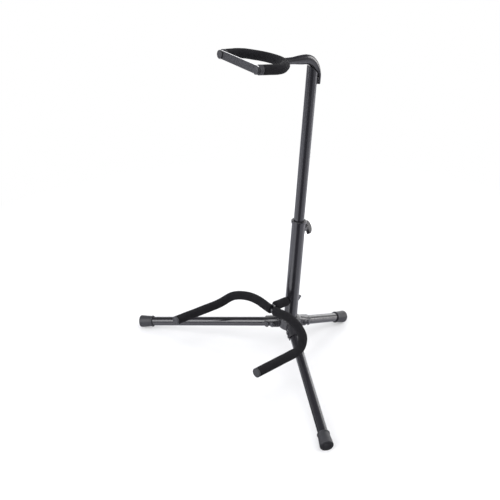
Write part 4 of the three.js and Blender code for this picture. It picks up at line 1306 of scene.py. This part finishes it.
def carved(shape, cutter):
    # one closed shape with another taken out of it
    holders = []
    for points, faces in (shape, cutter):
        mesh = bpy.data.meshes.new("carving")
        mesh.from_pydata([tuple(point) for point in points], [], faces)
        faceOutward(mesh)
        holder = bpy.data.objects.new("carving", mesh)
        bpy.context.scene.collection.objects.link(holder)
        holders.append(holder)
    modifier = holders[0].modifiers.new("carve", "BOOLEAN")
    modifier.object = holders[1]
    modifier.solver = "EXACT"
    graph = bpy.context.evaluated_depsgraph_get()
    result = bpy.data.meshes.new_from_object(holders[0].evaluated_get(graph))
    points = [tuple(vertex.co) for vertex in result.vertices]
    faces = [tuple(face.vertices) for face in result.polygons]
    for holder in holders:
        mesh = holder.data
        bpy.data.objects.remove(holder)
        bpy.data.meshes.remove(mesh)
    bpy.data.meshes.remove(result)
    return points, faces


# the pivot's axis is the leg's Y: nuts and threads face one way along it, bolt heads the other
nutWay = Matrix.Rotation(-math.pi / 2, 4, "X")
headWay = Matrix.Rotation(math.pi / 2, 4, "X")


def buildLeg(side, body, length):
    v, bolt = legValues, boltValues
    place = legFrame(side)
    alongLeg = place @ Matrix.Rotation(math.pi / 2, 4, "Y")
    start, end = v["pivot"] - v["tail"], length - footValues["boreDepth"] - 0.3
    shell = tubeShape(v["radius"], v["bore"], start, end, 96)
    addPiece("legShell_" + side, shell, alongLeg, "tubePaint", body, "leg_tube_" + side)
    foot = turnedShape(footProfile(length, footValues))
    addPiece("footRubber_" + side, foot, alongLeg, "footRubber", body, "foot_" + side, 30, floorFlat=True)

    headIn = bracketValues["half"] + 0.3
    stopSpot = place @ Matrix.Translation((v["stop"] * mm, 0, 0))
    pin = headShape(v["pinRadius"], -0.05, headIn, bolt)
    addPiece("stopPinA_" + side, pin, stopSpot @ nutWay, "darkZinc", body, "leg_stop_pin_" + side)
    addPiece("stopPinB_" + side, pin, stopSpot @ headWay, "darkZinc", body)

    pivotSpot = place @ Matrix.Translation((v["pivot"] * mm, 0, 0))
    head = headShape(bolt["shaft"], -9, headIn, bolt, bolt["socket"])
    addPiece("pivotBolt_" + side, head, pivotSpot @ headWay, "darkZinc", "base", "leg_pivot_bolt_" + side)
    thread = threadShape(9, headIn + 6.2, bolt["pitch"])
    addPiece("pivotThread_" + side, thread, pivotSpot @ nutWay, "darkZinc", "base")
    nutSpot = pivotSpot @ nutWay @ Matrix.Translation((0, 0, headIn * mm))
    addPiece("pivotNut_" + side, nutShape(bolt), nutSpot, "darkZinc", "base", "leg_pivot_nut_" + side)

    bracket = carved(bracketShape(place, bracketValues), notchShape(bracketValues))
    addPiece("bracketChannel_" + side, bracket, place, "bracketPaint", "base", "leg_bracket_" + side)
    seam = []
    for y, z, _, up in bracketRows(bracketValues):
        height = z + bracketValues["rise"] * 0.63 * max(up, 0)
        seam.append((hitRing(place, y, height, mastValues["hubRadius"] + 0.2), y, height))
    addWeld("bracketWeld_" + side, seam, bracketValues["weld"], place, "base")


buildLeg("left", "leg_left", legValues["frontLength"])
buildLeg("right", "leg_right", legValues["frontLength"])
buildLeg("rear", "leg_rear", legValues["rearLength"])
print("legs ready")


# The cradle's stud through the mast with its washer and nut, and the weld round the clamp's boss
studValues = {"front": -34, "back": 26.1, "washerBore": 3.3, "washerRadius": 7.5, "washerFrom": 14.6,
              "washerTo": 16.2, "nutFrom": 16.5}


def buildBolts(v):
    spot = mastFrame @ Matrix.Translation((0, 0, stemValues["height"] * mm)) @ nutWay
    stud = threadShape(v["front"], v["back"], boltValues["pitch"])
    addPiece("studThread", stud, spot, "darkZinc", "base", "cradle_stud")
    bore, wide, low, high, edge = v["washerBore"], v["washerRadius"], v["washerFrom"], v["washerTo"], 0.3
    washer = [(bore, low), (wide - edge, low), (wide, low + edge), (wide, high - edge), (wide - edge, high),
              (bore, high), (bore, low)]
    addPiece("studWasher", turnedShape(washer, 72), spot, "darkZinc", "base", "cradle_washer")
    nutSpot = spot @ Matrix.Translation((0, 0, v["nutFrom"] * mm))
    addPiece("studNut", nutShape(boltValues), nutSpot, "darkZinc", "base", "cradle_nut")

    radius = mastValues["lowerRadius"] + 0.3
    seam = []
    for step in range(73):
        angle = fullTurn * step / 72
        up, x, _ = turned(hexReach(mastValues["bossFlat"], angle), angle, 0)
        seam.append((x, math.sqrt(radius ** 2 - x * x), mastValues["clampHeight"] + up))
    addWeld("bossWeld", seam, 1.1, mastFrame, "base")


buildBolts(studValues)
print("bolts ready")

# The CAD pieces that still show get their finish and smooth curves
nodeSharpDeg = 34
slotNames = {row["node"]: row["material_slot"] for row in frame["record"]["subparts"]}
for node in nodes.values():
    if node.hide_render:
        continue
    node.data.materials.clear()
    node.data.materials.append(finishes[nodeFinish[slotNames[node.name]]])
    node.data.polygons.foreach_set("use_smooth", [True] * len(node.data.polygons))
    node.data.set_sharp_from_angle(angle=math.radians(nodeSharpDeg))
